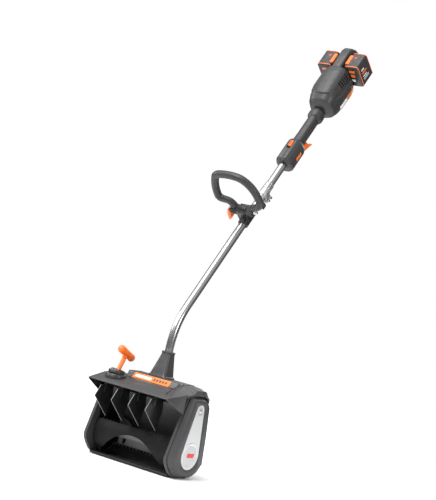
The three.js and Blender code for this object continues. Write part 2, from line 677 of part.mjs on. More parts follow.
function clampBolt() {
  const head = FOOT_OUT + 0.4;
  return join(
    rod([-52, HANDLE_T, HANDLE_N], [head + 6, HANDLE_T, HANDLE_N], 4, 4, 16),
    rod([head, HANDLE_T, HANDLE_N], [head + 9, HANDLE_T, HANDLE_N], 8, 8, 16),
    rod([head + 9, HANDLE_T, HANDLE_N], [head + 15, HANDLE_T, HANDLE_N], 6, 5, 6),
  );
}

const CAM_X = -50.5;
function clampLever() {
  const cam = rod([CAM_X, HANDLE_T - 10, HANDLE_N], [CAM_X, HANDLE_T + 10, HANDLE_N], 7.3, 7.3, 20);
  const profile = [[CAM_X + 2, 43], [CAM_X + 2, 30], [CAM_X - 1, 12], [CAM_X - 6, -2], [CAM_X - 11, -8],
    [CAM_X - 17, -7], [CAM_X - 16, 8], [CAM_X - 12, 26], [CAM_X - 7, 40], [CAM_X - 3, 45]];
  const blade = loft([HANDLE_T - 13, HANDLE_T + 11].map((t) => profile.map(([x, n]) => [x, t, n])));
  const boltRoom = box(CAM_X - 5.8, CAM_X + 8, HANDLE_T - 4.6, HANDLE_T + 4.6, HANDLE_N - 4.6, HANDLE_N + 10);
  return join(cam, blade).subtract(boltRoom);
}

// ---------------------------------------------------------------- switch housing and grip
function switchShell() {
  const outer = tubeLoft([
    [SWITCH_FROM, 22, 25, -3], [SWITCH_FROM + 9, 30, 33, -3],
    [SWITCH_TO - 14, 30, 33, -3], [SWITCH_TO, 24, 27, -3],
  ]);
  const inner = tubeLoft([
    [SWITCH_FROM + 5, 18, 21, -3], [SWITCH_FROM + 12, 27, 30, -3],
    [SWITCH_TO - 17, 27, 30, -3], [SWITCH_TO - 4, 20, 23, -3],
  ]);
  const bore = rod([0, SWITCH_FROM - 5, 0], [0, SWITCH_TO + 5, 0], TUBE_R + GAP);
  const buttonSlot = box(-8, 8, 342, 381, 20, 40);
  const triggerSlot = box(-7.5, 7.5, 374, SWITCH_TO + 5, -60, -18);
  const pivotStub = rod([-28, TRIGGER_T, TRIGGER_N], [28, TRIGGER_T, TRIGGER_N], 2.4, 2.4, 12);
  return cut(outer, inner, bore, buttonSlot, triggerSlot).add(pivotStub);
}

function lockOffButton() {
  return join(box(-6.5, 6.5, 352, 378, 22, 32.5), box(-4, 4, 355, 375, 32, 34.5));
}

function triggerPiece() {
  const outline = new THREE.Shape();
  outline.moveTo(380, -23);
  outline.lineTo(396, -23.5);
  outline.lineTo(433, -30.5);
  outline.quadraticCurveTo(434, -46, 453, -57);
  outline.lineTo(452, -61);
  outline.lineTo(412, -49);
  outline.quadraticCurveTo(392, -42, 381, -33);
  const hub = rod([-6, TRIGGER_T, TRIGGER_N], [6, TRIGGER_T, TRIGGER_N], 6, 6, 20);
  const bore = rod([-10, TRIGGER_T, TRIGGER_N], [10, TRIGGER_T, TRIGGER_N], 2.7, 2.7, 12);
  return slabX(outline, -6, 6).add(hub).subtract(bore);
}

function triggerSwitch() {
  return box(-8, 8, 326, 366, -30, -15.5);
}

function gripSleeve() {
  const outer = tubeLoft([
    [SWITCH_TO + GAP, 19, 21, 0], [500, 18, 20, 0], [509, 21, 22.5, 0], [519, 27, 27, 0],
    [539, 27.5, 27.5, 0], [GRIP_TO, 22, 22, 0],
  ], 2.3, 24);
  return outer.subtract(rod([0, 380, 0], [0, 560, 0], TUBE_R + GAP));
}

// ---------------------------------------------------------------- motor housing
const MOTOR_SECTIONS = [
  [MOTOR_FROM, 24, 24, 0], [559, 37, 36, 1], [571, 45, 46, 1.5], [592, 51, 55, 3], [625, 54, 62, 4],
  [690, 53, 64, 3], [MOTOR_BODY_TO, 47, 61, 2],
];

function motorShell() {
  const outer = tubeLoft(MOTOR_SECTIONS, 2.7);
  const thinner = MOTOR_SECTIONS.map(([t, x, n, c], i) => {
    const shift = i === 0 ? WALL : 0;
    const back = i === MOTOR_SECTIONS.length - 1 ? -WALL : 0;
    return [t + shift + back, x - WALL, n - WALL, c];
  });
  const hollow = tubeLoft(thinner, 2.7);
  const spine = slabX([[710, -52], [800, -48], [836, -22], [SPINE_TO, 8], [832, 40], [814, 62], [796, 68],
    [710, 64]], -SPINE_HALF, SPINE_HALF);
  const spineHollow = slabX([[706, -46], [797, -43], [830, -20], [836, 8], [827, 37], [811, 57], [795, 62],
    [706, 58]], -SPINE_HALF + WALL, SPINE_HALF - WALL);
  const front = rod([0, MOTOR_FROM - 3, 0], [0, MOTOR_FROM + 8, 0], 21);
  const vents = [];
  [-1, 1].forEach((side) => {
    for (let i = 0; i < 5; i += 1) {
      const t = 652 + i * 12;
      vents.push(box(side < 0 ? -70 : 40, side < 0 ? -40 : 70, t, t + 5.5, 16 - i * 1.5, 42 - i * 1.5));
    }
  });
  const bumperSeat = box(-30, 30, 806, 860, -16, 34);
  return cut(outer.add(spine), hollow, spineHollow, front, bumperSeat, ...vents);
}

function half(solid, side, reach = 100) {
  const keep = side < 0
    ? box(-reach, -GAP / 2, 200, 900, -120, 120)
    : box(GAP / 2, reach, 200, 900, -120, 120);
  return solid.intersect(keep);
}

function rearBumper() {
  const outer = slabX([[809, -15], [834.5, -15], [839, -5], [841, 8], [834.5, 33], [809, 33]],
    -SPINE_HALF + 1.5, SPINE_HALF - 1.5);
  const hollow = slabX([[808, -11], [832, -11], [836, 8], [831, 29], [808, 29]],
    -SPINE_HALF + 5, SPINE_HALF - 5);
  return outer.subtract(hollow);
}

const MOTOR_AT = 640;
function motorStator() {
  return ring([0, MOTOR_AT - 28, 0], [0, MOTOR_AT + 28, 0], 36, 22.5, 32);
}

function motorRotor() {
  return join(
    rod([0, MOTOR_AT - 27, 0], [0, MOTOR_AT + 27, 0], 22, 22, 28),
    rod([0, MOTOR_AT - 60, 0], [0, MOTOR_AT + 42, 0], 4.5, 4.5, 16),
  );
}

function coolingFan() {
  const disc = ring([0, MOTOR_AT + 31, 0], [0, MOTOR_AT + 33.5, 0], 33, 4.8, 28);
  const hub = ring([0, MOTOR_AT + 31, 0], [0, MOTOR_AT + 41, 0], 9, 4.8, 20);
  const blades = [];
  for (let i = 0; i < 9; i += 1) {
    const blade = new THREE.BoxGeometry(24, 9, 2);
    blade.translate(20, MOTOR_AT + 36.5, 0);
    blade.rotateY((i / 9) * Math.PI * 2);
    blades.push(toSolid(blade));
  }
  return join(disc, hub, ...blades).subtract(rod([0, 600, 0], [0, 700, 0], 4.8));
}

function controlBoard() {
  return box(-12, 12, 730, 733, -36, 50);
}

// ---------------------------------------------------------------- batteries
const KEY_X = 52;                // charge button: across, and along the tube
const KEY_T = 771;
function battery(side) {
  const high = (PACK_HIGH - PACK_LOW) / 2;
  const wide = (PACK_OUT - PACK_IN - 6) / 2;
  const block = tubeLoft([
    [PACK_FROM, wide - 4, high - 3, 0], [PACK_FROM + 6, wide, high, 0],
    [PACK_TO - 6, wide, high, 0], [PACK_TO, wide - 4, high - 3, 0],
  ], 5, 28);
  const middle = (PACK_IN + 6 + PACK_OUT) / 2;
  const body = block.translate([side * middle, 0, (PACK_LOW + PACK_HIGH) / 2]);
  const rail = side > 0
    ? box(PACK_IN, PACK_IN + 10, PACK_FROM + 12, PACK_TO - 12, PACK_LOW + 8, PACK_HIGH - 8)
    : box(-PACK_IN - 10, -PACK_IN, PACK_FROM + 12, PACK_TO - 12, PACK_LOW + 8, PACK_HIGH - 8);
  const latchSeat = side > 0
    ? box(PACK_IN + 3, PACK_IN + 18.5, PACK_FROM + 15, PACK_TO - 15, PACK_HIGH - 14, PACK_HIGH + 5)
    : box(-PACK_IN - 18.5, -PACK_IN - 3, PACK_FROM + 15, PACK_TO - 15, PACK_HIGH - 14, PACK_HIGH + 5);
  const keyX = side * KEY_X;
  const keySeat = rod([keyX, KEY_T, PACK_HIGH - 8], [keyX, KEY_T, PACK_HIGH + 5], 5.4, 5.4, 16);
  return body.add(rail).subtract(latchSeat).subtract(keySeat);
}

function latch(side) {
  const near = PACK_IN + 3.5;
  const far = PACK_IN + 18;
  const x0 = side > 0 ? near : -far;
  const x1 = side > 0 ? far : -near;
  return box(x0, x1, PACK_FROM + 15.5, PACK_TO - 15.5, PACK_HIGH - 9, PACK_HIGH + 0.5);
}

function chargeButton(side) {
  return rod([side * KEY_X, KEY_T, PACK_HIGH - 6], [side * KEY_X, KEY_T, PACK_HIGH + 0.6], 5, 5, 16);
}

// ---------------------------------------------------------------- assembly
function buildHead() {
  place(machine, 'auger_housing', augerHousing(), CHARCOAL);
  place(machine, 'left_side_plate', sidePlate(-1), CHARCOAL);
  place(machine, 'right_side_plate', sidePlate(1), CHARCOAL);
  place(machine, 'belt_cover', beltCover(), CHARCOAL);
  place(machine, 'cover_badge', coverBadge(), ALUMINIUM);
  place(machine, 'scraper_blade', scraperBlade(), BLACK);
  place(machine, 'hood', hoodPiece(), CHARCOAL);
  place(machine, 'hood_label', hoodLabel(), ORANGE);
  place(machine, 'neck_socket', neckSocket(), CHARCOAL);
  for (let i = 0; i < 4; i += 1) {
    place(machine, `vane_${i + 1}`, vane(i), BLACK);
  }
  place(machine, 'vane_tie_bar', tieBar(), STEEL);
  place(machine, 'lever_base', leverBase(), CHARCOAL);
  place(machine, 'vane_lever', vaneLever(), ORANGE);
}

function buildDrive() {
  place(machine, 'rotor_shaft', rotorShaft(), STEEL);
  place(machine, 'rotor_paddles', rotorPaddles(), BLACK);
  place(machine, 'left_bearing', bearing(-PLATE_OUT + GAP, -PLATE_IN - GAP), STEEL);
  place(machine, 'right_bearing', bearing(PLATE_IN + GAP, PLATE_OUT - GAP), STEEL);
  place(machine, 'large_pulley', pulley(ROTOR_Y, ROTOR_Z, LARGE_PULLEY_R, 7.3, 36), STEEL);
  place(machine, 'small_pulley', pulley(DRIVE_Y, DRIVE_Z, SMALL_PULLEY_R, 4.8, 12), STEEL);
  place(machine, 'drive_belt', driveBelt(), RUBBER);
  place(machine, 'idler_wheel', idlerWheel(), BLACK);
  place(machine, 'gearbox_case', gearboxCase(), ALUMINIUM);
  place(machine, 'cross_shaft', crossShaft(), STEEL);
  place(machine, 'cross_bevel_gear', crossBevelGear(), STEEL);
  place(machine, 'input_bevel_gear', inputBevelGear(), STEEL);
}

function buildTube() {
  place(machine, 'lower_tube', lowerTube(), ALUMINIUM);
  place(machine, 'flexible_drive_shaft', flexibleDriveShaft(), STEEL);
  place(onTube, 'upper_tube', upperTube(), ALUMINIUM);
  place(onTube, 'upper_drive_shaft', rod([0, SPLIT_T, 0], [0, 578, 0], 4), STEEL);
  place(onTube, 'coupler_clamp', couplerClamp(), ALUMINIUM);
  place(onTube, 'coupler_bolt_1', couplerBolt(CLAMP_BOLT_T[0]), STEEL);
  place(onTube, 'coupler_bolt_2', couplerBolt(CLAMP_BOLT_T[1]), STEEL);
  place(onTube, 'coupler_ring', couplerRing(), ALUMINIUM);
  place(onTube, 'coupler_knob', couplerKnob(), BLACK);
}

function buildHandles() {
  place(onTube, 'handle_clamp', handleClamp(), BLACK);
  place(onTube, 'loop_handle', loopHandle(), CHARCOAL);
  place(onTube, 'clamp_bolt', clampBolt(), STEEL);
  place(onTube, 'clamp_lever', clampLever(), ORANGE);
  const shell = switchShell();
  place(onTube, 'switch_housing_left', half(shell, -1), CHARCOAL);
  place(onTube, 'switch_housing_right', half(shell, 1), CHARCOAL);
  place(onTube, 'lock_off_button', lockOffButton(), ORANGE);
  place(onTube, 'trigger', triggerPiece(), ORANGE);
  place(onTube, 'trigger_switch', triggerSwitch(), BLACK);
  place(onTube, 'grip_sleeve', gripSleeve(), CHARCOAL);
}

function buildMotor() {
  const shell = motorShell();
  place(onTube, 'motor_housing_left', half(shell, -1), CHARCOAL);
  place(onTube, 'motor_housing_right', half(shell, 1), CHARCOAL);
  place(onTube, 'rear_bumper', rearBumper(), RUBBER);
  place(onTube, 'motor_stator', motorStator(), COPPER);
  place(onTube, 'motor_rotor', motorRotor(), STEEL);
  place(onTube, 'cooling_fan', coolingFan(), BLACK);
  place(onTube, 'control_board', controlBoard(), GREEN);
  [['left', -1], ['right', 1]].forEach(([word, side]) => {
    place(onTube, `battery_${word}`, battery(side), CHARCOAL);
    place(onTube, `latch_${word}`, latch(side), ORANGE);
    place(onTube, `charge_button_${word}`, chargeButton(side), RED);
  });
}

buildHead();
buildDrive();
buildTube();
buildHandles();
buildMotor();

export default machine;
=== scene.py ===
"""Looks of the cordless snow blower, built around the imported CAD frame."""

import json
import math

import bpy
import bmesh
from mathutils import Matrix, Vector


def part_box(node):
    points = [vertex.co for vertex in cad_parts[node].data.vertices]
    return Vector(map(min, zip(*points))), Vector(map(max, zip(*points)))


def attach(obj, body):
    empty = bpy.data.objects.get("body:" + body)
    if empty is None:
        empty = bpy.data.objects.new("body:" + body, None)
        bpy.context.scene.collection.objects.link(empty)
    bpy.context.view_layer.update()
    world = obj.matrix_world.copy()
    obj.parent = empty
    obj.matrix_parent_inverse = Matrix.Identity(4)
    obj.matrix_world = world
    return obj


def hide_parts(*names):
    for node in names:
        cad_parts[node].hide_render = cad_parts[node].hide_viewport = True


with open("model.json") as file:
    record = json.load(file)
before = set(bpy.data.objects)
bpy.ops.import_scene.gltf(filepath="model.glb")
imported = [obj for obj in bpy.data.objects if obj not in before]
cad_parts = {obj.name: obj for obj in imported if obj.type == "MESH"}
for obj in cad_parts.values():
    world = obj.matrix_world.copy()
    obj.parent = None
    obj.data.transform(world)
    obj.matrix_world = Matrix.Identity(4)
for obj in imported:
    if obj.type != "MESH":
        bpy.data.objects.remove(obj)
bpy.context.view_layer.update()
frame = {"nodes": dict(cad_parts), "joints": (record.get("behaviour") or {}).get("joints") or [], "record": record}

MM = 0.001
JOINTS = {joint["name"]: joint for joint in frame["joints"]}

# ---------------------------------------------------------------- places taken from the frame
# The tube frame: x to the operator's right, t up the steering tube, n away from its top side.
TUBE_DIR = Vector(JOINTS["motor_spin"]["axis"]).normalized()
MOTOR_T = 640.0
TUBE_ZERO = Vector(JOINTS["motor_spin"]["pos_m"]) - TUBE_DIR * MOTOR_T * MM
ACROSS = Vector((1, 0, 0))
SIDES = ((-1, "left"), (1, "right"))
TOP_DIR = ACROSS.cross(TUBE_DIR)


def in_row(point):
    """Millimetres in the row frame."""
    return Vector(point) * MM


def on_tube(point):
    """Millimetres in the tube frame."""
    x, t, n = point
    return TUBE_ZERO + (ACROSS * x + TUBE_DIR * t + TOP_DIR * n) * MM


# ---------------------------------------------------------------- materials
class Shader:
    """A principled material whose colour, roughness and relief come from noise in object space."""

    def __init__(self, name):
        self.material = bpy.data.materials.new(name)
        self.material.use_nodes = True
        self.tree = self.material.node_tree
        self.bsdf = self.tree.nodes["Principled BSDF"]
        self.place = self.tree.nodes.new("ShaderNodeTexCoord").outputs["Object"]
        self.height = None

    def link(self, a, b):
        self.tree.links.new(a, b)

    def mapped(self, scale, turn=(0, 0, 0)):
        """Object coordinates turned, then stretched."""
        turned = self.tree.nodes.new("ShaderNodeMapping")
        turned.inputs["Rotation"].default_value = turn
        self.link(self.place, turned.inputs["Vector"])
        scaled = self.tree.nodes.new("ShaderNodeMapping")
        scaled.inputs["Scale"].default_value = scale
        self.link(turned.outputs["Vector"], scaled.inputs["Vector"])
        return scaled.outputs["Vector"]

    def noise(self, scale, detail=3.0, vector=None, rough=0.55):
        node = self.tree.nodes.new("ShaderNodeTexNoise")
        node.inputs["Scale"].default_value = scale
        node.inputs["Detail"].default_value = detail
        node.inputs["Roughness"].default_value = rough
        self.link(vector or self.place, node.inputs["Vector"])
        return node.outputs["Fac"]

    def voronoi(self, scale):
        node = self.tree.nodes.new("ShaderNodeTexVoronoi")
        node.inputs["Scale"].default_value = scale
        self.link(self.place, node.inputs["Vector"])
        return node.outputs["Distance"]

    def span(self, fac, low, high, from_low=0.0, from_high=1.0):
        node = self.tree.nodes.new("ShaderNodeMapRange")
        node.inputs["From Min"].default_value = from_low
        node.inputs["From Max"].default_value = from_high
        node.inputs["To Min"].default_value = low
        node.inputs["To Max"].default_value = high
        self.link(fac, node.inputs["Value"])
        return node.outputs["Result"]

    def mix(self, fac, a, b):
        node = self.tree.nodes.new("ShaderNodeMix")
        node.data_type = "RGBA"
        for socket, value in (("A", a), ("B", b)):
            target = [s for s in node.inputs if s.name == socket and s.type == "RGBA"][0]
            if isinstance(value, (tuple, list)):
                target.default_value = (*value, 1)
            else:
                self.link(value, target)
        self.link(fac, node.inputs[0])
        return [s for s in node.outputs if s.type == "RGBA"][0]

    def colour(self, socket):
        self.link(socket, self.bsdf.inputs["Base Color"])

    def roughness(self, socket):
        self.link(socket, self.bsdf.inputs["Roughness"])

    def relief(self, fac, strength, distance):
        node = self.tree.nodes.new("ShaderNodeBump")
        node.inputs["Strength"].default_value = strength
        node.inputs["Distance"].default_value = distance
        self.link(fac, node.inputs["Height"])
        if self.height is not None:
            self.link(self.height, node.inputs["Normal"])
        self.height = node.outputs["Normal"]
        self.link(self.height, self.bsdf.inputs["Normal"])

    def fixed(self, **values):
        for key, value in values.items():
            self.bsdf.inputs[key.replace("_", " ")].default_value = value


def shaded(colour, factor):
    return tuple(min(1.0, c * factor) for c in colour)


def moulded(name, colour, rough=0.5, grain=0.5, edge_paleness=0.18, speckle=2200, shine=0.42):
    """Moulded plastic: spark-eroded grain, slow colour drift, and convex edges made a little paler."""
    s = Shader(name)
    drift = s.noise(9, 4)
    body = s.mix(s.span(drift, 0, 1, 0.35, 0.65), shaded(colour, 0.9), shaded(colour, 1.1))
    # Convex edges, found from the mesh's pointiness, take a paler colour.
    geometry = s.tree.nodes.new("ShaderNodeNewGeometry")
    edge = s.span(geometry.outputs["Pointiness"], 0, edge_paleness, 0.53, 0.62)
    s.colour(s.mix(edge, body, shaded(colour, 2.6)))
    s.roughness(s.span(s.noise(60, 5), rough - 0.07, rough + 0.09, 0.3, 0.7))
    s.relief(s.noise(speckle, 2), 0.4 * grain, 0.0001)
    s.relief(s.noise(38, 3), 0.06, 0.0012)
    s.fixed(Specular_IOR_Level=shine)
    return s.material


def metal(name, colour, rough, stretch, depth, spread=0.1, turn=(0, 0, 0)):
    """Metal with drawing or brushing lines along the axis whose stretch is smallest."""
    s = Shader(name)
    lines = s.noise(1.0, 4, s.mapped(stretch, turn), 0.6)
    dark, light = shaded(colour, 1 - spread), shaded(colour, 1 + 0.6 * spread)
    s.colour(s.mix(s.span(lines, 0, 1, 0.25, 0.75), dark, light))
    s.roughness(s.span(lines, rough - 0.5 * spread, rough + spread, 0.25, 0.75))
    s.relief(lines, depth, 0.00006)
    s.fixed(Metallic=1.0)
    return s.material


def printed(name, colour, rough=0.38):
    """A printed film label: even colour with a faint mottled lacquer."""
    s = Shader(name)
    s.colour(s.mix(s.span(s.noise(140, 3), 0, 1, 0.3, 0.7), shaded(colour, 0.95), shaded(colour, 1.04)))
    s.roughness(s.span(s.noise(300, 3), rough - 0.05, rough + 0.08))
    s.relief(s.noise(900, 2), 0.05, 0.0001)
    return s.material


def rubbery(name, colour):
    """Dull rubber with a pebbled skin."""
    s = Shader(name)
    s.colour(s.mix(s.span(s.noise(25, 5), 0, 1, 0.3, 0.7), shaded(colour, 0.8), shaded(colour, 1.25)))
    s.roughness(s.span(s.noise(80, 4), 0.72, 0.92))
    s.relief(s.voronoi(900), 0.35, 0.0002)
    return s.material


def winding(name):
    """Lacquered copper turns over a dark laminated stack."""
    s = Shader(name)
    turns = s.noise(1.0, 4, s.mapped((260, 260, 900)), 0.5)
    s.colour(s.mix(s.span(turns, 0, 1, 0.42, 0.58), (0.05, 0.045, 0.04), (0.5, 0.2, 0.07)))
    s.roughness(s.span(turns, 0.25, 0.5))
    s.relief(turns, 0.6, 0.0006)
    s.fixed(Metallic=0.7)
    return s.material


def laminate(name):
    """Green circuit board with paler tracks."""
    s = Shader(name)
    tracks = s.voronoi(260)
    s.colour(s.mix(s.span(tracks, 0, 1, 0.3, 0.36), (0.012, 0.07, 0.03), (0.03, 0.16, 0.07)))
    s.roughness(s.span(tracks, 0.3, 0.5))
    s.relief(tracks, 0.3, 0.0002)
    return s.material


TILT = math.atan2(TUBE_DIR.z, TUBE_DIR.y)
CHARCOAL = moulded("charcoal", (0.038, 0.038, 0.040), 0.4)
CHARCOAL_FINE = moulded("charcoal_fine", (0.026, 0.026, 0.027), 0.36, grain=0.25)
GRIPPY = moulded("soft_grip", (0.030, 0.030, 0.031), 0.44, grain=0.4, edge_paleness=0.1, speckle=1400)
BLACK = moulded("black", (0.009, 0.009, 0.0095), 0.36, grain=0.3, edge_paleness=0.3)
# Near-black for the rotor and the chamber's end sheets: the rotor's black plastic made darker still as painted
# shade, and whole sheets of painted shade inside the chamber.
BLACK_AND_PAINTED_SHADE = moulded("black_and_painted_shade", (0.006, 0.006, 0.0065), 0.55, grain=0.3, edge_paleness=0.1, shine=0.16)
BLACK_EDGE = moulded("black_edge", (0.2, 0.2, 0.205), 0.4, grain=0.2, edge_paleness=0.6)
# Painted light: a paler grey standing for light on the paddles' hollow sides, the rotor hub and the chamber's back
# wall, which lie in shade.
PAINTED_LIGHT_GREY = moulded("paddle_inside", (0.17, 0.17, 0.175), 0.5, grain=0.3, edge_paleness=0.1)
ORANGE = moulded("orange", (0.93, 0.165, 0.018), 0.36, grain=0.22, edge_paleness=0.1)
RED = moulded("red", (0.72, 0.03, 0.03), 0.3, grain=0.15, edge_paleness=0.1)
TUBE_METAL = metal("tube_aluminium", (0.4, 0.4, 0.41), 0.24, (420, 4, 420), 0.02, 0.04, (-TILT, 0, 0))
BADGE_METAL = metal("badge_aluminium", (0.66, 0.665, 0.67), 0.4, (1400, 1400, 22), 0.5)
CAST_METAL = metal("cast_aluminium", (0.5, 0.5, 0.51), 0.4, (300, 300, 300), 0.12)
STEEL = metal("steel", (0.5, 0.5, 0.51), 0.3, (60, 1300, 1300), 0.1)
BRIGHT_STEEL = metal("bright_steel", (0.62, 0.62, 0.63), 0.2, (500, 500, 500), 0.05, 0.05)
DARK_STEEL = metal("dark_steel", (0.06, 0.06, 0.062), 0.38, (500, 500, 500), 0.3)
RUBBER = rubbery("rubber", (0.022, 0.022, 0.023))
COPPER = winding("copper_winding")
BOARD = laminate("circuit_board")
PRINT_ORANGE = printed("print_orange", (0.9, 0.2, 0.02))
PRINT_WHITE = printed("print_white", (0.82, 0.82, 0.8))
PRINT_RED = printed("print_red", (0.66, 0.03, 0.035))
PRINT_DARK = printed("print_dark", (0.03, 0.03, 0.032))

CAD_LOOKS = {
    "charcoal_plastic": CHARCOAL, "black_plastic": BLACK, "orange_plastic": ORANGE, "red_plastic": RED,
    "tube_aluminium": TUBE_METAL, "cast_aluminium": CAST_METAL, "badge_aluminium": BADGE_METAL,
    "steel": STEEL, "black_steel": DARK_STEEL, "rubber": RUBBER, "copper_winding": COPPER,
    "circuit_board": BOARD,
}
SLOT_OF_LOOK = {look.name: slot for slot, look in CAD_LOOKS.items()}
for look, slot in ((CHARCOAL_FINE, "charcoal_plastic"), (GRIPPY, "charcoal_plastic"),
                   (PRINT_DARK, "charcoal_plastic"), (BLACK_AND_PAINTED_SHADE, "black_plastic"),
                   (PAINTED_LIGHT_GREY, "black_plastic"), (PRINT_ORANGE, "orange_plastic"),
                   (PRINT_WHITE, "orange_plastic"), (PRINT_RED, "red_plastic")):
    SLOT_OF_LOOK[look.name] = slot
SLOT_OF = {part["node"]: part["material_slot"] for part in frame["record"]["subparts"]}
BODY_OF = {node: body for body, nodes in frame["record"]["behaviour"]["bodies"].items() for node in nodes}


def dress_frame():
    """Every CAD node that stays in view takes its slot's material."""
    for node, thing in frame["nodes"].items():
        thing.data.materials.clear()
        thing.data.materials.append(CAD_LOOKS[SLOT_OF[node]])


# ---------------------------------------------------------------- mesh helpers
FLAT_ANGLE = math.radians(1)


def smooth(thing, angle=38):
    """Smooth shading, with edges sharper than angle kept sharp."""
    thing.data.shade_smooth()
    thing.data.set_sharp_from_angle(angle=math.radians(angle))


def bevelled(thing, width, segments=3, angle=32, clamp=True):
    """Eases the edges sharper than angle by width, in millimetres."""
    modifier = thing.modifiers.new("edges", "BEVEL")
    modifier.width = width * MM
    modifier.segments = segments
    modifier.limit_method = "ANGLE"
    modifier.angle_limit = math.radians(angle)
    modifier.use_clamp_overlap = clamp
    modifier.harden_normals = False


def settled(thing):
    """The modifiers' result becomes the mesh."""
    evaluated = thing.evaluated_get(bpy.context.evaluated_depsgraph_get())
    mesh = bpy.data.meshes.new_from_object(evaluated)
    thing.modifiers.clear()
    thing.data = mesh


def added(name, mesh, material):
    """A scene object for a mesh."""
    thing = bpy.data.objects.new(name, mesh)
    bpy.context.scene.collection.objects.link(thing)
    mesh.materials.append(material)
    return thing


def riding(thing, body, replaces=()):
    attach(thing, body)
    if replaces:
        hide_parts(*replaces)
    return thing


def piece(name, verts, faces, place, body, material, replaces=(), slot=None):
    """Points in millimetres and their faces as a scene object that rides on a body.

    The slot argument is not used.
    """
    mesh = bpy.data.meshes.new(name)
    mesh.from_pydata([place(v) for v in verts], [], faces)
    work = bmesh.new()
    work.from_mesh(mesh)
    bmesh.ops.remove_doubles(work, verts=work.verts, dist=1e-6)
    bmesh.ops.recalc_face_normals(work, faces=work.faces)
    work.to_mesh(mesh)
    work.free()
    thing = added(name, mesh, material)
    smooth(thing)
    return riding(thing, body, replaces)


def lofted(rings, closed=True):
    """Vertices and faces of a skin through rings of equal count, with flat ends if closed."""
    count = len(rings[0])
    verts = [p for ring in rings for p in ring]
    faces = []
    for i in range(len(rings) - 1):
        for j in range(count):
            a, b = i * count + j, i * count + (j + 1) % count
            faces.append((a, b, b + count, a + count))
    if closed:
        faces.append(tuple(range(count - 1, -1, -1)))
        faces.append(tuple(range(len(verts) - count, len(verts))))
    return verts, faces


def prism(outline, x0, x1):
    """A (u, v) outline extruded along x."""
    return lofted([[(x, u, v) for u, v in outline] for x in (x0, x1)])


def turned(profile, sides=48):
    """A profile of (radius, height) turned about the third axis."""
    rings = []
    for radius, height in profile:
        ring = []
        for i in range(sides):
            angle = 2 * math.pi * i / sides
            ring.append((radius * math.cos(angle), radius * math.sin(angle), height))
        rings.append(ring)
    return lofted(rings)


def about(centre, axis, place):
    """A placing for turned(): its third axis runs along axis through centre."""
    axis = Vector(axis).normalized()
    side = axis.orthogonal().normalized()
    other = axis.cross(side)

    def put(point):
        a, b, h = point
        return place(Vector(centre) + side * a + other * b + axis * h)
    return put


def superellipse(half_x, half_n, power, count):
    """Points (x, n) round a squarish oval."""
    points = []
    for i in range(count):
        angle = 2 * math.pi * i / count
        c, s = math.cos(angle), math.sin(angle)
        x = math.copysign(half_x * abs(c) ** (2 / power), c)
        n = math.copysign(half_n * abs(s) ** (2 / power), s)
        points.append((x, n))
    return points


def rounded_box(x0, x1, y0, y1, z0, z1):
    """A block, ready for bevelled() or for cutting."""
    verts = [(x, y, z) for x in (x0, x1) for y in (y0, y1) for z in (z0, z1)]
    faces = [(0, 1, 3, 2), (4, 6, 7, 5), (0, 4, 5, 1), (2, 3, 7, 6), (0, 2, 6, 4), (1, 5, 7, 3)]
    return verts, faces


def merged(*parts):
    verts, faces = [], []
    for more_verts, more_faces in parts:
        base = len(verts)
        verts += more_verts
        faces += [tuple(base + i for i in face) for face in more_faces]
    return verts, faces


def curve_points(control, count):
    """Catmull-Rom points through the control points."""
    control = [Vector(p) for p in control]
    ends = [control[0] * 2 - control[1]] + control + [control[-1] * 2 - control[-2]]
    spans = len(control) - 1
    points = []
    for i in range(count + 1):
        at = min(i / count * spans, spans - 1e-6)
        k, u = int(at), at - int(at)
        a, b, c, d = ends[k:k + 4]
        points.append(0.5 * ((2 * b) + (c - a) * u + (2 * a - 5 * b + 4 * c - d) * u * u
                             + (3 * b - a - 3 * c + d) * u ** 3))
    return points


def swept(points, radius, sides=24):
    """A round bar along points; radius may be a function of the share of the way."""
    points = [Vector(p) for p in points]
    last = len(points) - 1
    tangents = []
    for i in range(len(points)):
        tangents.append((points[min(i + 1, last)] - points[max(i - 1, 0)]).normalized())
    side = tangents[0].orthogonal().normalized()
    rings = []
    for i, (point, tangent) in enumerate(zip(points, tangents)):
        side = (side - tangent * side.dot(tangent)).normalized()
        other = tangent.cross(side)
        r = radius(i / last) if callable(radius) else radius
        ring = []
        for j in range(sides):
            angle = 2 * math.pi * j / sides
            ring.append(tuple(point + side * (r * math.cos(angle)) + other * (r * math.sin(angle))))
        rings.append(ring)
    return lofted(rings)


def softened(node, width, material=None, segments=2, angle=30):
    """A piece with the CAD node's own shape and eased edges."""
    work = bmesh.new()
    work.from_mesh(frame["nodes"][node].data)
    bmesh.ops.remove_doubles(work, verts=work.verts, dist=2e-6)
    bmesh.ops.dissolve_limit(work, angle_limit=FLAT_ANGLE, verts=work.verts, edges=work.edges)
    mesh = bpy.data.meshes.new(node + "_look")
    work.to_mesh(mesh)
    work.free()
    thing = added(node + "_look", mesh, material or CAD_LOOKS[SLOT_OF[node]])
    bevelled(thing, width, segments, angle, clamp=False)
    settled(thing)
    smooth(thing, 34)
    return riding(thing, BODY_OF[node], [node])


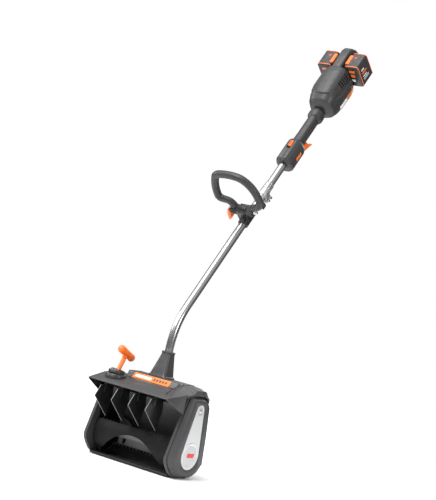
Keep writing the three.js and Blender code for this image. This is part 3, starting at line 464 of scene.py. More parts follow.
# ---------------------------------------------------------------- stage
def world_light(scene):
    """A white backdrop for the camera; light that grows from the horizon up for everything else."""
    world = bpy.data.worlds.new("studio")
    scene.world = world
    world.use_nodes = True
    tree = world.node_tree
    seen = tree.nodes["Background"]
    around = tree.nodes.new("ShaderNodeBackground")
    for node in (seen, around):
        node.inputs["Color"].default_value = (1.0, 1.0, 1.0, 1)
    seen.inputs["Strength"].default_value = 1.0
    place = tree.nodes.new("ShaderNodeTexCoord")
    split = tree.nodes.new("ShaderNodeSeparateXYZ")
    rise = tree.nodes.new("ShaderNodeMapRange")
    tree.links.new(place.outputs["Generated"], split.inputs["Vector"])
    tree.links.new(split.outputs["Z"], rise.inputs["Value"])
    rise.inputs["From Min"].default_value = 0.0
    rise.inputs["From Max"].default_value = 0.7
    rise.inputs["To Min"].default_value = AROUND_LOW
    rise.inputs["To Max"].default_value = AROUND_HIGH
    tree.links.new(rise.outputs["Result"], around.inputs["Strength"])
    mixer = tree.nodes.new("ShaderNodeMixShader")
    path = tree.nodes.new("ShaderNodeLightPath")
    tree.links.new(path.outputs["Is Camera Ray"], mixer.inputs["Fac"])
    tree.links.new(around.outputs["Background"], mixer.inputs[1])
    tree.links.new(seen.outputs["Background"], mixer.inputs[2])
    tree.links.new(mixer.outputs["Shader"], tree.nodes["World Output"].inputs["Surface"])


def lamp_for(scene, name, kind, energy, aim):
    """A lamp of a kind whose beam runs along aim."""
    light = bpy.data.lights.new(name, kind)
    light.energy = energy
    lamp = bpy.data.objects.new(name, light)
    lamp.rotation_euler = aim.to_track_quat("-Z", "Y").to_euler()
    scene.collection.objects.link(lamp)
    return lamp


def floor_plane(scene):
    """A pale square just under the sole, for the stage only."""
    corners = [(-1, -1), (1, -1), (1, 1), (-1, 1)]
    mesh = bpy.data.meshes.new("floor")
    mesh.from_pydata([(FLOOR_HALF * x, FLOOR_HALF * y, 0) for x, y in corners], [], [(0, 1, 2, 3)])
    floor = bpy.data.objects.new("floor", mesh)
    scene.collection.objects.link(floor)
    pale = Shader("pale_floor")
    pale.colour(pale.mix(pale.noise(3, 3), (0.86, 0.86, 0.86), (0.9, 0.9, 0.9)))
    pale.fixed(Roughness=0.9)
    mesh.materials.append(pale.material)
    floor.location.z = -0.0005


def camera(scene):
    """The photo's own view."""
    camera_data = bpy.data.cameras.new("camera")
    camera_data.sensor_fit = "VERTICAL"
    camera_data.sensor_height = 36.0
    camera_data.lens = LENS
    camera_data.clip_end = 60
    thing = bpy.data.objects.new("camera", camera_data)
    rotation = Matrix((CAMERA_RIGHT, CAMERA_UP, -CAMERA_FORWARD)).transposed()
    thing.matrix_world = Matrix.Translation(CAMERA_AT) @ rotation.to_4x4()
    scene.collection.objects.link(thing)
    scene.camera = thing


def stage():
    scene = bpy.context.scene
    scene.view_settings.view_transform = "Standard"
    world_light(scene)
    sun = lamp_for(scene, "sun", "SUN", SUN_POWER, -SUN_FROM)
    sun.data.angle = math.radians(50)
    floor_plane(scene)
    for name, at, aim, size, power in LIGHTS:
        lamp = lamp_for(scene, name, "AREA", power, Vector(aim) - Vector(at))
        lamp.data.size = size
        lamp.location = at
    camera(scene)


CAMERA_AT = Vector((2.7857, -3.8653, 0.6611))
CAMERA_FORWARD = Vector((-0.567, 0.824, 0.010)).normalized()
CAMERA_RIGHT = Vector((0.8054, 0.5519, 0.2163)).normalized()
CAMERA_UP = CAMERA_RIGHT.cross(CAMERA_FORWARD).normalized()
CAMERA_RIGHT = CAMERA_FORWARD.cross(CAMERA_UP).normalized()
LENS = 109.9
AROUND_LOW = 0.12
AROUND_HIGH = 0.8
SUN_POWER = 3.0
FLOOR_HALF = 2.4
SUN_FROM = Vector((-0.25, -0.6, 1.0))
LIGHTS = (
    ("key", (-0.4, -2.9, 3.2), (0, 0.2, 0.7), 1.6, 70),
    ("left_strip", (-3.0, -1.0, 1.8), (0, 0.2, 0.7), 1.0, 45),
    ("right_strip", (3.2, -0.6, 1.5), (0, 0.2, 0.6), 0.9, 30),
    ("back", (-0.8, 3.4, 2.6), (0, 0.3, 0.8), 2.0, 35),
)

# ---------------------------------------------------------------- head
def cad_box_mm(node):
    low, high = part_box(node)
    return low / MM, high / MM


def tube_box_mm(node):
    """Lowest and highest x, t and n of a CAD node in the tube frame."""
    found = []
    for vertex in frame["nodes"][node].data.vertices:
        away = vertex.co - TUBE_ZERO
        found.append((away.dot(ACROSS) / MM, away.dot(TUBE_DIR) / MM, away.dot(TOP_DIR) / MM))
    return [min(axis) for axis in zip(*found)], [max(axis) for axis in zip(*found)]


def screw(name, centre, axis, radius, place):
    """A dished screw head with a six-sided drive, on the machine's own body."""
    dish = [(radius * 0.6, -0.5), (radius, -0.4), (radius, 0.35), (radius * 0.86, 0.75), (radius * 0.6, 0.8)]
    drive = [(radius * 0.5, 0.3), (radius * 0.5, 0.82), (radius * 0.42, 0.35)]
    put = about(centre, axis, place)
    piece(name, *turned(dish, 28), put, "machine", DARK_STEEL)
    piece(name + "_drive", *turned(drive, 6), put, "machine", BLACK, slot="black_steel")


def side_plates():
    for word in ("left", "right"):
        softened(word + "_side_plate", 1.6, CHARCOAL)


COVER_SCREWS = ((-29, 183), (-47, 120), (-59, 66), (-29, 31), (38, 20), (76, 56), (67, 137), (51, 222))


def belt_cover():
    softened("belt_cover", 1.5, CHARCOAL)
    face = cad_box_mm("belt_cover")[1].x
    for i, (y, z) in enumerate(COVER_SCREWS):
        screw("cover_screw_%d" % (i + 1), (face - 1.4, y, z), (1, 0, 0), 2.6, in_row)


ROTOR_AT = Vector(JOINTS["rotor_spin"]["pos_m"]) / MM
CROSS_AT = Vector(JOINTS["cross_shaft_spin"]["pos_m"]) / MM


def band_outline(r0, r1, steps=40):
    """The outline round two circles at the rotor's and the cross shaft's axes."""
    dy, dz = CROSS_AT.y - ROTOR_AT.y, CROSS_AT.z - ROTOR_AT.z
    lean = math.atan2(dz, dy)
    open_angle = math.acos((r0 - r1) / math.hypot(dy, dz))
    points = []
    for i in range(steps + 1):
        a = lean + open_angle + (2 * math.pi - 2 * open_angle) * i / steps
        points.append((ROTOR_AT.y + r0 * math.cos(a), ROTOR_AT.z + r0 * math.sin(a)))
    for i in range(steps // 2 + 1):
        a = lean - open_angle + 2 * open_angle * i / (steps // 2)
        points.append((CROSS_AT.y + r1 * math.cos(a), CROSS_AT.z + r1 * math.sin(a)))
    return points


def badge():
    """The brushed plate in the belt cover, with a disc at each end and a plain red block."""
    low, high = cad_box_mm("cover_badge")
    plate = piece("badge_plate", *prism(band_outline(44.5, 19.6), low.x, high.x - 0.9), in_row,
                  "machine", BADGE_METAL, ["cover_badge"])
    bevelled(plate, 0.5)
    seat = high.x - 1.8
    for name, at, radius in (("badge_disc_low", ROTOR_AT, 40.0), ("badge_disc_high", CROSS_AT, 15.5)):
        dish = [(radius + 0.4, 0.0), (radius, 1.5), (radius * 0.95, 1.8), (radius * 0.86, 1.1),
                (radius * 0.8, 0.9), (0.1, 0.9)]
        piece(name, *turned(dish, 64), about((seat, at.y, at.z), (1, 0, 0), in_row), "machine", BADGE_METAL)
    block = [(-17, -6.5), (19, -6.5), (22, 6.5), (-14, 6.5)]
    mark = [(ROTOR_AT.y + y, ROTOR_AT.z + z) for y, z in block]
    piece("badge_mark", *prism(mark, high.x - 1.2, high.x - 0.6), in_row, "machine", PRINT_RED)
    stud = turned([(5.2, 0), (5.2, 0.9), (4.2, 1.5), (0.1, 1.7)], 32)
    piece("badge_stud", *stud, about((seat, CROSS_AT.y, CROSS_AT.z), (1, 0, 0), in_row), "machine",
          BRIGHT_STEEL, slot="badge_aluminium")


def hulled(name, points, width):
    """A charcoal piece of the head: the hull of points in the row frame, with eased edges."""
    work = bmesh.new()
    for point in points:
        work.verts.new(in_row(point))
    bmesh.ops.convex_hull(work, input=work.verts)
    bmesh.ops.dissolve_limit(work, angle_limit=FLAT_ANGLE, verts=work.verts, edges=work.edges)
    bmesh.ops.recalc_face_normals(work, faces=work.faces)
    mesh = bpy.data.meshes.new(name)
    work.to_mesh(mesh)
    work.free()
    thing = added(name, mesh, CHARCOAL)
    bevelled(thing, width, 4, 20)
    smooth(thing)
    return riding(thing, "machine")


def hood():
    """The hood with the facets and the cap at its right end, and a black strip of painted shadow in the groove
    beside them.
    """
    softened("hood", 1.3, CHARCOAL)
    shoulder = [(105, -13, 280.5), (120, -3, 281.0), (150, 30, 278.0), (172, 22, 274), (172, -20, 263),
                (163, -48, 257.5), (155, -122, 242.0), (139, -118, 243.5), (121, -90, 250.0)]
    below = [(x, y, z - 9) for x, y, z in shoulder]
    hulled("hood_shoulder", shoulder + below, 1.2)
    cap = [(118, -10, 280), (118, 46, 281), (150, 42, 279), (174, -6, 275), (174, 20, 276), (174, 40, 267),
           (174, 55, 259.2), (150, 59, 259.2), (118, 59, 259.2), (174, -24, 259.2), (118, -24, 259.2)]
    hulled("hood_cap", cap, 4.0)
    # Painted shadow: a thin black strip laid where the groove beside the cap lies in shade.
    groove_shade = [(119, -93, 248.8), (97, -38, 260.0), (100.5, -21.5, 268.5), (103, -15.5, 281.0)]
    half = 2.2
    rings = []
    for x, y, z in groove_shade:
        rings.append([(x - half, y, z - 3), (x - half, y - 0.6, z + 0.7), (x + half, y - 0.6, z + 0.7),
                      (x + half, y, z - 3)])
    piece("hood_groove", *lofted(rings), in_row, "machine", BLACK)


def hood_label():
    """A slanted film label with one pale and five dark bars in place of any name."""
    up = Vector((9, 22)).normalized()
    out = Vector((-up.y, up.x))
    base = Vector((-24, 260)) + out * 0.35
    lean = 0.28

    def on_slope(point):
        x, s, d = point
        return in_row((x, base.x + up.x * s + out.x * d, base.y + up.y * s + out.y * d))

    def bar(name, x0, x1, s0, s1, depth, material, replaces=()):
        outline = [(x0 + lean * s0, s0), (x1 + lean * s0, s0), (x1 + lean * s1, s1), (x0 + lean * s1, s1)]
        rings = [[(x, s, d) for x, s in outline] for d in (0.0, depth)]
        thing = piece(name, *lofted(rings), on_slope, "machine", material, replaces, slot="orange_plastic")
        bevelled(thing, 0.25, 2)

    bar("label_field", -74, 70, 3.0, 21.5, 0.9, PRINT_ORANGE, ["hood_label"])
    bar("label_pale_bar", -66, -3, 8.0, 16.5, 1.1, PRINT_WHITE)
    rust = moulded("label_rust", (0.07, 0.022, 0.01), 0.4)
    for i in range(5):
        x0 = 5 + 11.5 * i
        bar("label_dark_bar_%d" % (i + 1), x0, x0 + 7, 8.5, 16.0, 1.1, rust)


def neck():
    """The tapered boot round the tube's foot: rings of (z, shift in y, half widths, corner radius)."""
    low, high = cad_box_mm("neck_socket")
    stations = (
        (low.z, -10, 36.5, 28.5, 10), (low.z + 3.0, -10, 36, 28, 10), (low.z + 6, -10, 31.5, 26.5, 10),
        (low.z + 12, -9.4, 30, 25.6, 10), (high.z - 14, -0.9, 18.2, 17, 8), (high.z - 5, 0, 17.2, 16.2, 8),
        (high.z - 4.2, 0, 18.4, 17.4, 8.4), (high.z - 1, 0, 18.4, 17.4, 8.4), (high.z, 0, 17.4, 16.4, 8),
        (high.z, 0, 13.6, 13.6, 13.59), (high.z - 20, 0, 13.6, 13.6, 13.59))
    rings = []
    for z, shift, half_x, half_y, corner in stations:
        ring = []
        for quarter, (sx, sy) in enumerate(((1, 1), (-1, 1), (-1, -1), (1, -1))):
            for i in range(9):
                angle = (quarter + i / 8) * math.pi / 2
                ring.append((sx * (half_x - corner) + corner * math.cos(angle),
                             NECK_Y + shift + sy * (half_y - corner) + corner * math.sin(angle), z))
        rings.append(ring)
    piece("neck_boot", *lofted(rings, closed=False), in_row, "machine", CHARCOAL, ["neck_socket"])


BEND_R = 250.0
STRAIGHT_END = -350.0
TURN = math.pi / 2 - TILT
NECK_Y = (TUBE_ZERO.y / MM) + STRAIGHT_END * math.cos(TILT) - BEND_R * (1 - math.cos(TURN))


# ---------------------------------------------------------------- vanes and lever
def second_material(thing, material, chosen):
    """The faces that chosen picks out take a second material."""
    thing.data.materials.append(material)
    for face in thing.data.polygons:
        if chosen(face):
            face.material_index = 1


def vanes():
    """The four vanes, their front and lower rims paler, each with a cap on its pin."""
    for i in range(4):
        node = "vane_%d" % (i + 1)
        thing = softened(node, 0.7, BLACK, 3)
        pivot = Vector(JOINTS[node + "_swing"]["pos_m"]) / MM

        def on_rim(face):
            at = face.center / MM
            clear_of_pins = at.z < 224.5 and abs(at.y - pivot.y) > 4.5
            return clear_of_pins and at.y < -75 and abs(face.normal.x) < 0.8

        second_material(thing, BLACK_EDGE, on_rim)
        cap = turned([(4.5, -1.5), (4.5, 0.5), (3.6, 1.3), (0.1, 1.3)], 28)
        piece(node + "_pivot_cap", *cap, about((pivot.x, pivot.y, 231), (0, 0, -1), in_row), node, BLACK)


LEVER_LEAN = math.radians(23)
LEVER_AT = Vector(JOINTS["vane_lever_swing"]["pos_m"]) / MM


def on_lever(up, back, side=0.0):
    return (LEVER_AT.x + side, LEVER_AT.y + math.sin(LEVER_LEAN) * up + math.cos(LEVER_LEAN) * back,
            LEVER_AT.z + math.cos(LEVER_LEAN) * up - math.sin(LEVER_LEAN) * back)


def remeshed(thing, voxel, rounds):
    """Merges a piece's overlapping parts into one skin with soft joints."""
    modifier = thing.modifiers.new("blend", "REMESH")
    modifier.mode = "VOXEL"
    modifier.voxel_size = voxel * MM
    relax = thing.modifiers.new("relax", "SMOOTH")
    relax.factor = 0.6
    relax.iterations = rounds
    settled(thing)
    thing.data.shade_smooth()


def lever():
    """The T-bar lever: stem, waisted bar with round ends, hub and the tail under it."""
    grip, reach = 74.0, 30.0
    waist, bar_radius, ball_radius = 0.9, 12.9, 13.0
    stem = swept([on_lever(0, 0), on_lever(20, 0), on_lever(45, 0), on_lever(grip, 0)],
                 lambda u: 8.0 - waist * math.sin(math.pi * u), 24)
    bar_points = [on_lever(grip, -reach + 2 * reach * i / 16) for i in range(17)]
    bar = swept(bar_points, lambda u: bar_radius - waist * math.sin(math.pi * u), 28)
    arc = [math.pi * (i / 12 - 0.5) for i in range(13)]
    profile = [(max(0.1, ball_radius * math.cos(a)), ball_radius * math.sin(a)) for a in arc]
    balls = []
    for back in (-reach, reach):
        verts, faces = turned(profile, 28)
        centre = Vector(on_lever(grip, back))
        balls.append(([tuple(centre + Vector(v)) for v in verts], faces))
    hub = swept([on_lever(0, -8.5), on_lever(0, 8.5)], 7.4, 24)
    tail = swept([on_lever(0, 0), (LEVER_AT.x, LEVER_AT.y - 21, LEVER_AT.z - 24.5)], 2.9, 16)
    thing = piece("vane_lever_look", *merged(stem, bar, *balls, hub, tail), in_row, "lever", ORANGE,
                  ["vane_lever"])
    remeshed(thing, 1.1, 7)


def lever_base():
    """The base with upright ribs round its collar, left out where the lever swings."""
    softened("lever_base", 1.0, CHARCOAL_FINE)
    count, radius, foot = 20, 24.4, 264.0
    rib = turned([(1.5, 0), (1.5, 9), (0.7, 11)], 10)
    for i in range(count):
        angle = 2 * math.pi * i / count
        across, along = radius * math.cos(angle), radius * math.sin(angle)
        if abs(across) > 15.5:
            at = (LEVER_AT.x + across, LEVER_AT.y + along, foot)
            piece("lever_rib_%d" % i, *rib, about(at, (0, 0, 1), in_row), "machine", CHARCOAL_FINE)


# ---------------------------------------------------------------- rotor and chamber
FIRST_PADDLE = 143.0
PADDLE_OUTER = 66.0
PADDLE_INNER = 62.5
RIB_TOP = 62.9
ARCH_HALF = 118
ARCH_POWER = 2.2


def rotor_point(radius, degrees):
    """A point (y, z) at a radius from the rotor's axis."""
    angle = math.radians(degrees)
    return ROTOR_AT.y + radius * math.cos(angle), ROTOR_AT.z + radius * math.sin(angle)


def rotor_arc(radius, low, high, steps):
    """Points (y, z) round the rotor's axis, from low to high in degrees."""
    return [rotor_point(radius, low + (high - low) * i / steps) for i in range(steps + 1)]


def paddle_look(turn, columns=64, half=149.0):
    """A curved paddle: a band of the rotor's cylinder whose inner edge is cut to an arch."""
    rings = []
    for i in range(columns + 1):
        x = -half + 2 * half * i / columns
        span = 24 + 62 * min(1.0, abs(x) / ARCH_HALF) ** ARCH_POWER
        back = [(x, y, z) for y, z in rotor_arc(PADDLE_OUTER, turn, turn + span, 10)]
        front = [(x, y, z) for y, z in rotor_arc(PADDLE_INNER, turn, turn + span, 10)]
        rings.append(back + front[::-1])
    return lofted(rings)


def painted_light_side(face):
    """True on the paddle's hollow side, which takes painted light."""
    away = face.center / MM - ROTOR_AT
    away.x = 0
    return face.normal.dot(away) < -0.5 * away.length


def rotor():
    """Two paddles half a turn apart, with teeth along the tip, ribs in the hollow and end webs; their black is
    darkened as painted shade, and their hollow sides and the hub take a paler grey as painted light.
    """
    for k, turn in enumerate((FIRST_PADDLE, FIRST_PADDLE + 180)):
        name = "paddle_%d" % (k + 1)
        thing = piece(name, *paddle_look(turn), in_row, "rotor", BLACK_AND_PAINTED_SHADE, ["rotor_paddles"])
        # Painted light: the hollow side of each paddle takes the paler grey.
        second_material(thing, PAINTED_LIGHT_GREY, painted_light_side)
        bevelled(thing, 0.8, 2, 50)
        root, tip = [rotor_arc(radius, turn - 3.4, turn + 12.6, 6) for radius in (63.4, 65.9)]
        for j in range(20):
            x = -133 + 14 * j
            comb = piece("%s_comb_%d" % (name, j + 1), *prism(root + tip[::-1], x - 3, x + 3), in_row,
                         "rotor", BLACK_AND_PAINTED_SHADE)
            bevelled(comb, 0.5, 2)
        for x in (-140, -112, 112, 140):
            length = 20 + 36 * min(1.0, abs(x) / ARCH_HALF) ** ARCH_POWER
            outline = rotor_arc(RIB_TOP, turn + 2, turn + 2 + length, 8)
            for i in range(8, -1, -1):
                outline.append(rotor_point(RIB_TOP - 8.0 - 22.0 * i / 8, turn + 2 + length * i / 8))
            side = "l" if x < 0 else "r"
            rib = piece("%s_rib_%s%d" % (name, side, abs(x)), *prism(outline, x - 1.3, x + 1.3), in_row,
                        "rotor", BLACK_AND_PAINTED_SHADE)
            bevelled(rib, 0.4, 2)
        end_web = [(ROTOR_AT.y, ROTOR_AT.z)] + rotor_arc(64, turn + 1, turn + 30, 5)
        for j, x in enumerate((-147, 147)):
            web = piece("%s_web_%d" % (name, j + 1), *prism(end_web, x - 2, x + 2), in_row, "rotor",
                        BLACK_AND_PAINTED_SHADE)
            bevelled(web, 0.6, 2)
    # Painted light: the hub takes the same paler grey.
    hub = turned([(7.4, -150), (9.5, -150), (9.5, 150), (7.4, 150)], 40)
    piece("rotor_hub", *hub, about(tuple(ROTOR_AT), (1, 0, 0), in_row), "rotor", PAINTED_LIGHT_GREY)


def chamber():
    """The chamber and its blade; at its ends, black sheets of painted shade and pale skids that are partly a
    painted glint; at the back, a wall made paler as painted light.
    """
    softened("auger_housing", 0.9, CHARCOAL)
    softened("scraper_blade", 0.8, BLACK)
    low, high = cad_box_mm("auger_housing")
    # Painted shade: black sheets on the inner faces of the chamber's ends, from a little behind the front edge
    # back, where those faces lie in shade.
    outline = [(-44, 206), (-42, 160), (-39, 116), (-52, 63), (-29, 26), (-12, 9), (20, 9), (60, 30),
               (74, 75), (70, 104), (-12, 182)]
    foot = [(-27, 26), (1, 24), (3, 7), (-3, 5)]
    for side, word in SIDES:
        shade_sheet_x = sorted((side * (high.x + 0.2), side * (high.x - 1.6)))
        shade_sheet = piece(word + "_liner", *prism(outline, *shade_sheet_x), in_row, "machine", BLACK_AND_PAINTED_SHADE)
        bevelled(shade_sheet, 0.5, 2)
        # The pale metal skids are partly a painted glint: they stand for light caught on the rotor's ends.
        glint_skid_x = sorted((side * (high.x - 3.4), side * (high.x - 1.7)))
        glint_skid = piece(word + "_skid", *prism(foot, *glint_skid_x), in_row, "machine", CAST_METAL)
        bevelled(glint_skid, 0.6, 2)
    # Painted light: a paler strip on the back wall, standing for light on a wall that lies in shade.
    wall = rotor_arc(69.4, -38, 18, 16) + rotor_arc(70.4, -38, 18, 16)[::-1]
    piece("back_wall_painted_light", *prism(wall, low.x + 4, high.x - 4), in_row, "machine", PAINTED_LIGHT_GREY,
          slot="charcoal_plastic")


# ---------------------------------------------------------------- tubes and coupler
def lower_tube():
    """The straight stretch, the bend and the upright end, as one drawn tube."""
    points = []
    top = tube_box_mm("lower_tube")[1][1]
    for i in range(9):
        t = top + (STRAIGHT_END - top) * i / 8
        points.append(on_tube((0, t, 0)) / MM)
    low_z = TUBE_ZERO.z / MM + STRAIGHT_END * math.sin(TILT) - BEND_R * math.sin(TURN)
    for i in range(1, 25):
        left = TURN * (1 - i / 24)
        points.append(Vector((0, NECK_Y + BEND_R * (1 - math.cos(left)), low_z + BEND_R * math.sin(left))))
    points.append(Vector((0, NECK_Y, cad_box_mm("lower_tube")[0].z)))
    piece("lower_tube_look", *swept(points, 13.0, 48), in_row, "machine", TUBE_METAL, ["lower_tube"])


def tube_turned(name, profile, material, replaces=()):
    """A profile of (radius, t) turned about the tube's own line."""
    piece(name, *turned(profile), about((0, 0, 0), (0, 1, 0), on_tube), "machine", material, replaces)


def upper_tube():
    """The upper tube and, at its foot, the swage with three rows of studs."""
    low, high = tube_box_mm("upper_tube")
    tube_turned("upper_tube_look", [(11.4, low[1]), (12.4, low[1]), (13, low[1] + 0.6), (13, high[1]),
                                    (11.4, high[1])], TUBE_METAL, ["upper_tube"])
    tube_turned("swage", [(13.2, 172.3), (14.6, 172.5), (15, 173.5), (15, 195), (14.4, 197), (13.1, 198)],
                TUBE_METAL)
    stud = turned([(2.2, -0.6), (2.2, 0.1), (1.7, 0.5), (0.1, 0.6)], 16)
    for row in range(3):
        for i in range(10):
            angle = 2 * math.pi * i / 10
            out = Vector((math.cos(angle), 0, math.sin(angle)))
            at = (15 * out.x, 177.5 + 7.5 * row, 15 * out.z)
            piece("swage_stud_%d_%d" % (row, i), *stud, about(at, out, on_tube), "machine", BRIGHT_STEEL,
                  slot="tube_aluminium")


def coupler():
    softened("coupler_clamp", 0.9, CAST_METAL)
    softened("coupler_ring", 0.6, BRIGHT_STEEL)
    softened("coupler_knob", 1.2, BLACK, 3)
    for node in ("coupler_bolt_1", "coupler_bolt_2"):
        softened(node, 0.4, BRIGHT_STEEL)


# ---------------------------------------------------------------- loop handle
LOOP_LEAN = math.radians(8)


def tube_coordinates(point_m):
    away = Vector(point_m) - TUBE_ZERO
    return Vector((away.dot(ACROSS), away.dot(TUBE_DIR), away.dot(TOP_DIR))) / MM


LOOP_OUTLINE = ((-29, 40), (-32, 58), (-46, 71), (-70, 75), (-81, 80), (-86, 92), (-84, 128), (-74, 162),
                (-66, 174), (-48, 180), (-10, 182), (28, 176), (54, 158), (72, 130), (80, 98), (77, 78),
                (66, 65), (46, 58), (30, 50), (29, 40))


def loop_handle():
    """The loop, thinner near its feet, each foot round the hinge, and the ribbed joint between them."""
    pivot = tube_coordinates(JOINTS["loop_tilt"]["pos_m"])
    control = [(x, pivot.y + (v - 40) * math.sin(LOOP_LEAN), pivot.z + (v - 40) * math.cos(LOOP_LEAN))
               for x, v in LOOP_OUTLINE]

    def radius(u):
        return 12.9 - 1.2 * math.exp(-((u - 0.12) / 0.05) ** 2) - 1.2 * math.exp(-((u - 0.9) / 0.05) ** 2)

    bar = swept(curve_points(control, 150), radius, 28)
    feet = []
    profile = [(14.5, 19.7), (16.4, 21.0), (16.4, 40.5), (15.0, 42.2), (4.6, 42.2)]
    for side in (-1, 1):
        verts, faces = turned(profile, 40)
        feet.append(([(side * h, pivot.y + a, pivot.z + b) for a, b, h in verts], faces))
    thing = piece("loop_handle_look", *merged(bar, *feet), on_tube, "handle", GRIPPY, ["loop_handle"])
    room = rounded_box(-19.5, 19.5, pivot.y - 45, pivot.y + 60, pivot.z - 45, pivot.z + 22)
    cut_out(thing, "loop_room", *room, on_tube, "handle", GRIPPY)
    ribbed = [(14.0, 20.4)]
    for i in range(5):
        h = 4 * i
        ribbed += [(17.6, 21.0 + h), (17.6, 23.2 + h), (16.0, 23.5 + h), (16.0, 24.7 + h)]
    ribbed.append((14.0, 41.4))
    piece("loop_joint", *turned(ribbed), about((0, pivot.y, pivot.z), (-1, 0, 0), on_tube), "handle",
          BLACK, slot="charcoal_plastic")


def cut_out(thing, name, verts, faces, place, body, material=BLACK, ease=0.0):
    """Takes a shape, its edges eased by ease, out of a piece; the shape itself is thrown away."""
    cutter = piece(name, verts, faces, place, body, material, slot="charcoal_plastic")
    if ease:
        bevelled(cutter, ease, 3)
    modifier = thing.modifiers.new("cut", "BOOLEAN")
    modifier.operation = "DIFFERENCE"
    modifier.object = cutter
    modifier.solver = "EXACT"
    settled(thing)
    bpy.data.objects.remove(cutter)
    smooth(thing)


def handle_clamp():
    """The clamp, its bolt, the orange cam lever and a detent ring on each side."""
    softened("handle_clamp", 1.4, BLACK, 3)
    softened("clamp_bolt", 0.6, BRIGHT_STEEL)
    pivot = tube_coordinates(JOINTS["loop_tilt"]["pos_m"])
    low, high = tube_box_mm("clamp_lever")
    cam = pivot.x - 50.5
    profile = [(2, 43), (2, 30), (-1, 12), (-6, -2), (-11, -8), (-16.6, -7), (-15.6, 8), (-11.6, 26),
               (-6.6, 40), (-3, 44.6)]
    rings = [[(cam + x, t, n) for x, n in profile] for t in (low[1] + 0.2, high[1] - 0.2)]
    blade = piece("clamp_lever_look", *lofted(rings), on_tube, "quick_lever", ORANGE, ["clamp_lever"])
    bevelled(blade, 2.4, 5)
    ring = turned([(12, -1), (16.6, -0.8), (16.9, 0.0), (12, 0.3)], 24)
    for side, word in SIDES:
        put = about((side * 19.1, pivot.y, pivot.z), (side, 0, 0), on_tube)
        piece("detent_" + word, *ring, put, "handle_mount", BLACK)


# ---------------------------------------------------------------- switch housing and grip
SWITCH_SECTION = ((0, 30), (15, 30), (24.5, 20), (30, 6), (30, -16), (23, -30), (12, -36), (0, -36))


def half_section(scale_x, scale_n, side, seam=0.15):
    """One half of the switch housing's section, scaled about its middle and kept off the seam."""
    centre = -3.0
    points = [(max(seam, x * scale_x), centre + (n - centre) * scale_n) for x, n in SWITCH_SECTION]
    return [(side * x, n) for x, n in points]


def switch_housing():
    """Two faceted shells with a pocket for the slider and a mouth for the trigger."""
    low, high = tube_box_mm("switch_housing_right")
    stations = ((low[1], 0.8, 0.82), (low[1] + 1.2, 0.86, 0.88), (low[1] + 8, 1.0, 1.0),
                (high[1] - 13, 1.0, 1.0), (high[1] - 1.2, 0.82, 0.85), (high[1], 0.77, 0.8))
    for side, word in SIDES:
        rings = [[(x, t, n) for x, n in half_section(sx, sn, side)] for t, sx, sn in stations]
        shell = piece("switch_shell_" + word, *lofted(rings), on_tube, "machine", CHARCOAL,
                      ["switch_housing_" + word])
        bevelled(shell, 0.9, 3, 12)
        settled(shell)
        pocket = rounded_box(-7.6, 7.6, 343, 380.5, 22.5, 40)
        cut_out(shell, "pocket_" + word, *pocket, on_tube, "machine")
        mouth = rounded_box(-7.2, 7.2, 375, 400, -60, -19)
        cut_out(shell, "mouth_" + word, *mouth, on_tube, "machine")
        for k, t in enumerate((306.0, 372.0)):
            screw("switch_screw_%s_%d" % (word, k), (side * 29.6, t, -6 - 8 * k), (side, 0, 0), 3.0, on_tube)
    tube_turned("switch_gland", [(13.4, low[1] - 0.2), (19.5, low[1] - 0.2), (20.5, low[1] + 0.5),
                                 (20.5, low[1] + 3)], BLACK)
    for i in range(3):
        t = 327 + 11.5 * i
        mark = [(t, -14.5), (t + 9.5, -14.5), (t + 12, -3), (t + 2.5, -3)]
        bar = piece("switch_mark_%d" % (i + 1), *prism(mark, 29.9, 30.35), on_tube, "machine", PRINT_ORANGE)
        bevelled(bar, 0.15, 1)


def slider():
    """The lock-off slider with four grip ribs."""
    low, high = tube_box_mm("lock_off_button")
    base = rounded_box(low[0] + 0.4, high[0] - 0.4, low[1] + 0.4, high[1] - 0.4, 24, high[2] - 2.6)
    thing = piece("lock_off_look", *base, on_tube, "lock_off", ORANGE, ["lock_off_button"])
    bevelled(thing, 1.4, 4)
    for i in range(4):
        t = low[1] + 6 + 4.2 * i
        block = rounded_box(-4.2, 4.2, t, t + 1.8, high[2] - 3.6, high[2] - 0.6)
        rib = piece("lock_off_rib_%d" % (i + 1), *block, on_tube, "lock_off", ORANGE)
        bevelled(rib, 0.6, 3)


def trigger():
    softened("trigger", 1.5, ORANGE, 4)


def grip():
    """The soft grip: an oval sleeve with raised bands, a swollen collar and fine side ribs."""
    low, high = tube_box_mm("grip_sleeve")
    sleeve_end = 505
    stations = ((low[1], 18.6, 20.6), (low[1] + 3, 19, 21), (430, 18.2, 19.8), (470, 18.2, 20.2),
                (500, 18, 20), (508, 18.6, 20.4), (512, 22, 23.5), (517, 25.8, 25.8), (520, 27, 26.9),
                (536, 27.2, 26.9), (541, 26.2, 26), (546, 22.4, 22.4), (high[1], 21.6, 21.6))
    rings = []
    for t, half_x, half_n in stations:
        ring = []
        for x, n in superellipse(half_x, half_n, 2.2, 72):
            in_band = t < sleeve_end and abs(math.cos(2 * math.atan2(n, x))) < 0.42
            scale = 1 + 0.9 / math.hypot(x, n) if in_band else 1.0
            ring.append((x * scale, t, n * scale))
        rings.append(ring)
    rings.append([(x * 0.66, high[1], n * 0.66) for x, t, n in rings[-1]])
    rings.insert(0, [(x * 0.72, low[1], n * 0.72) for x, t, n in rings[0]])
    piece("grip_look", *lofted(rings, closed=False), on_tube, "machine", GRIPPY, ["grip_sleeve"])
    rib = turned([(1.0, -7), (1.3, -5), (1.3, 5), (1.0, 7)], 12)
    for i in range(12):
        t = low[1] + 14 + 8.2 * i
        for side, letter in ((-1, "a"), (1, "b")):
            put = about((side * 17.9, t, 0), (0, 0, 1), on_tube)
            piece("grip_rib_%d_%s" % (i, letter), *rib, put, "machine", GRIPPY)


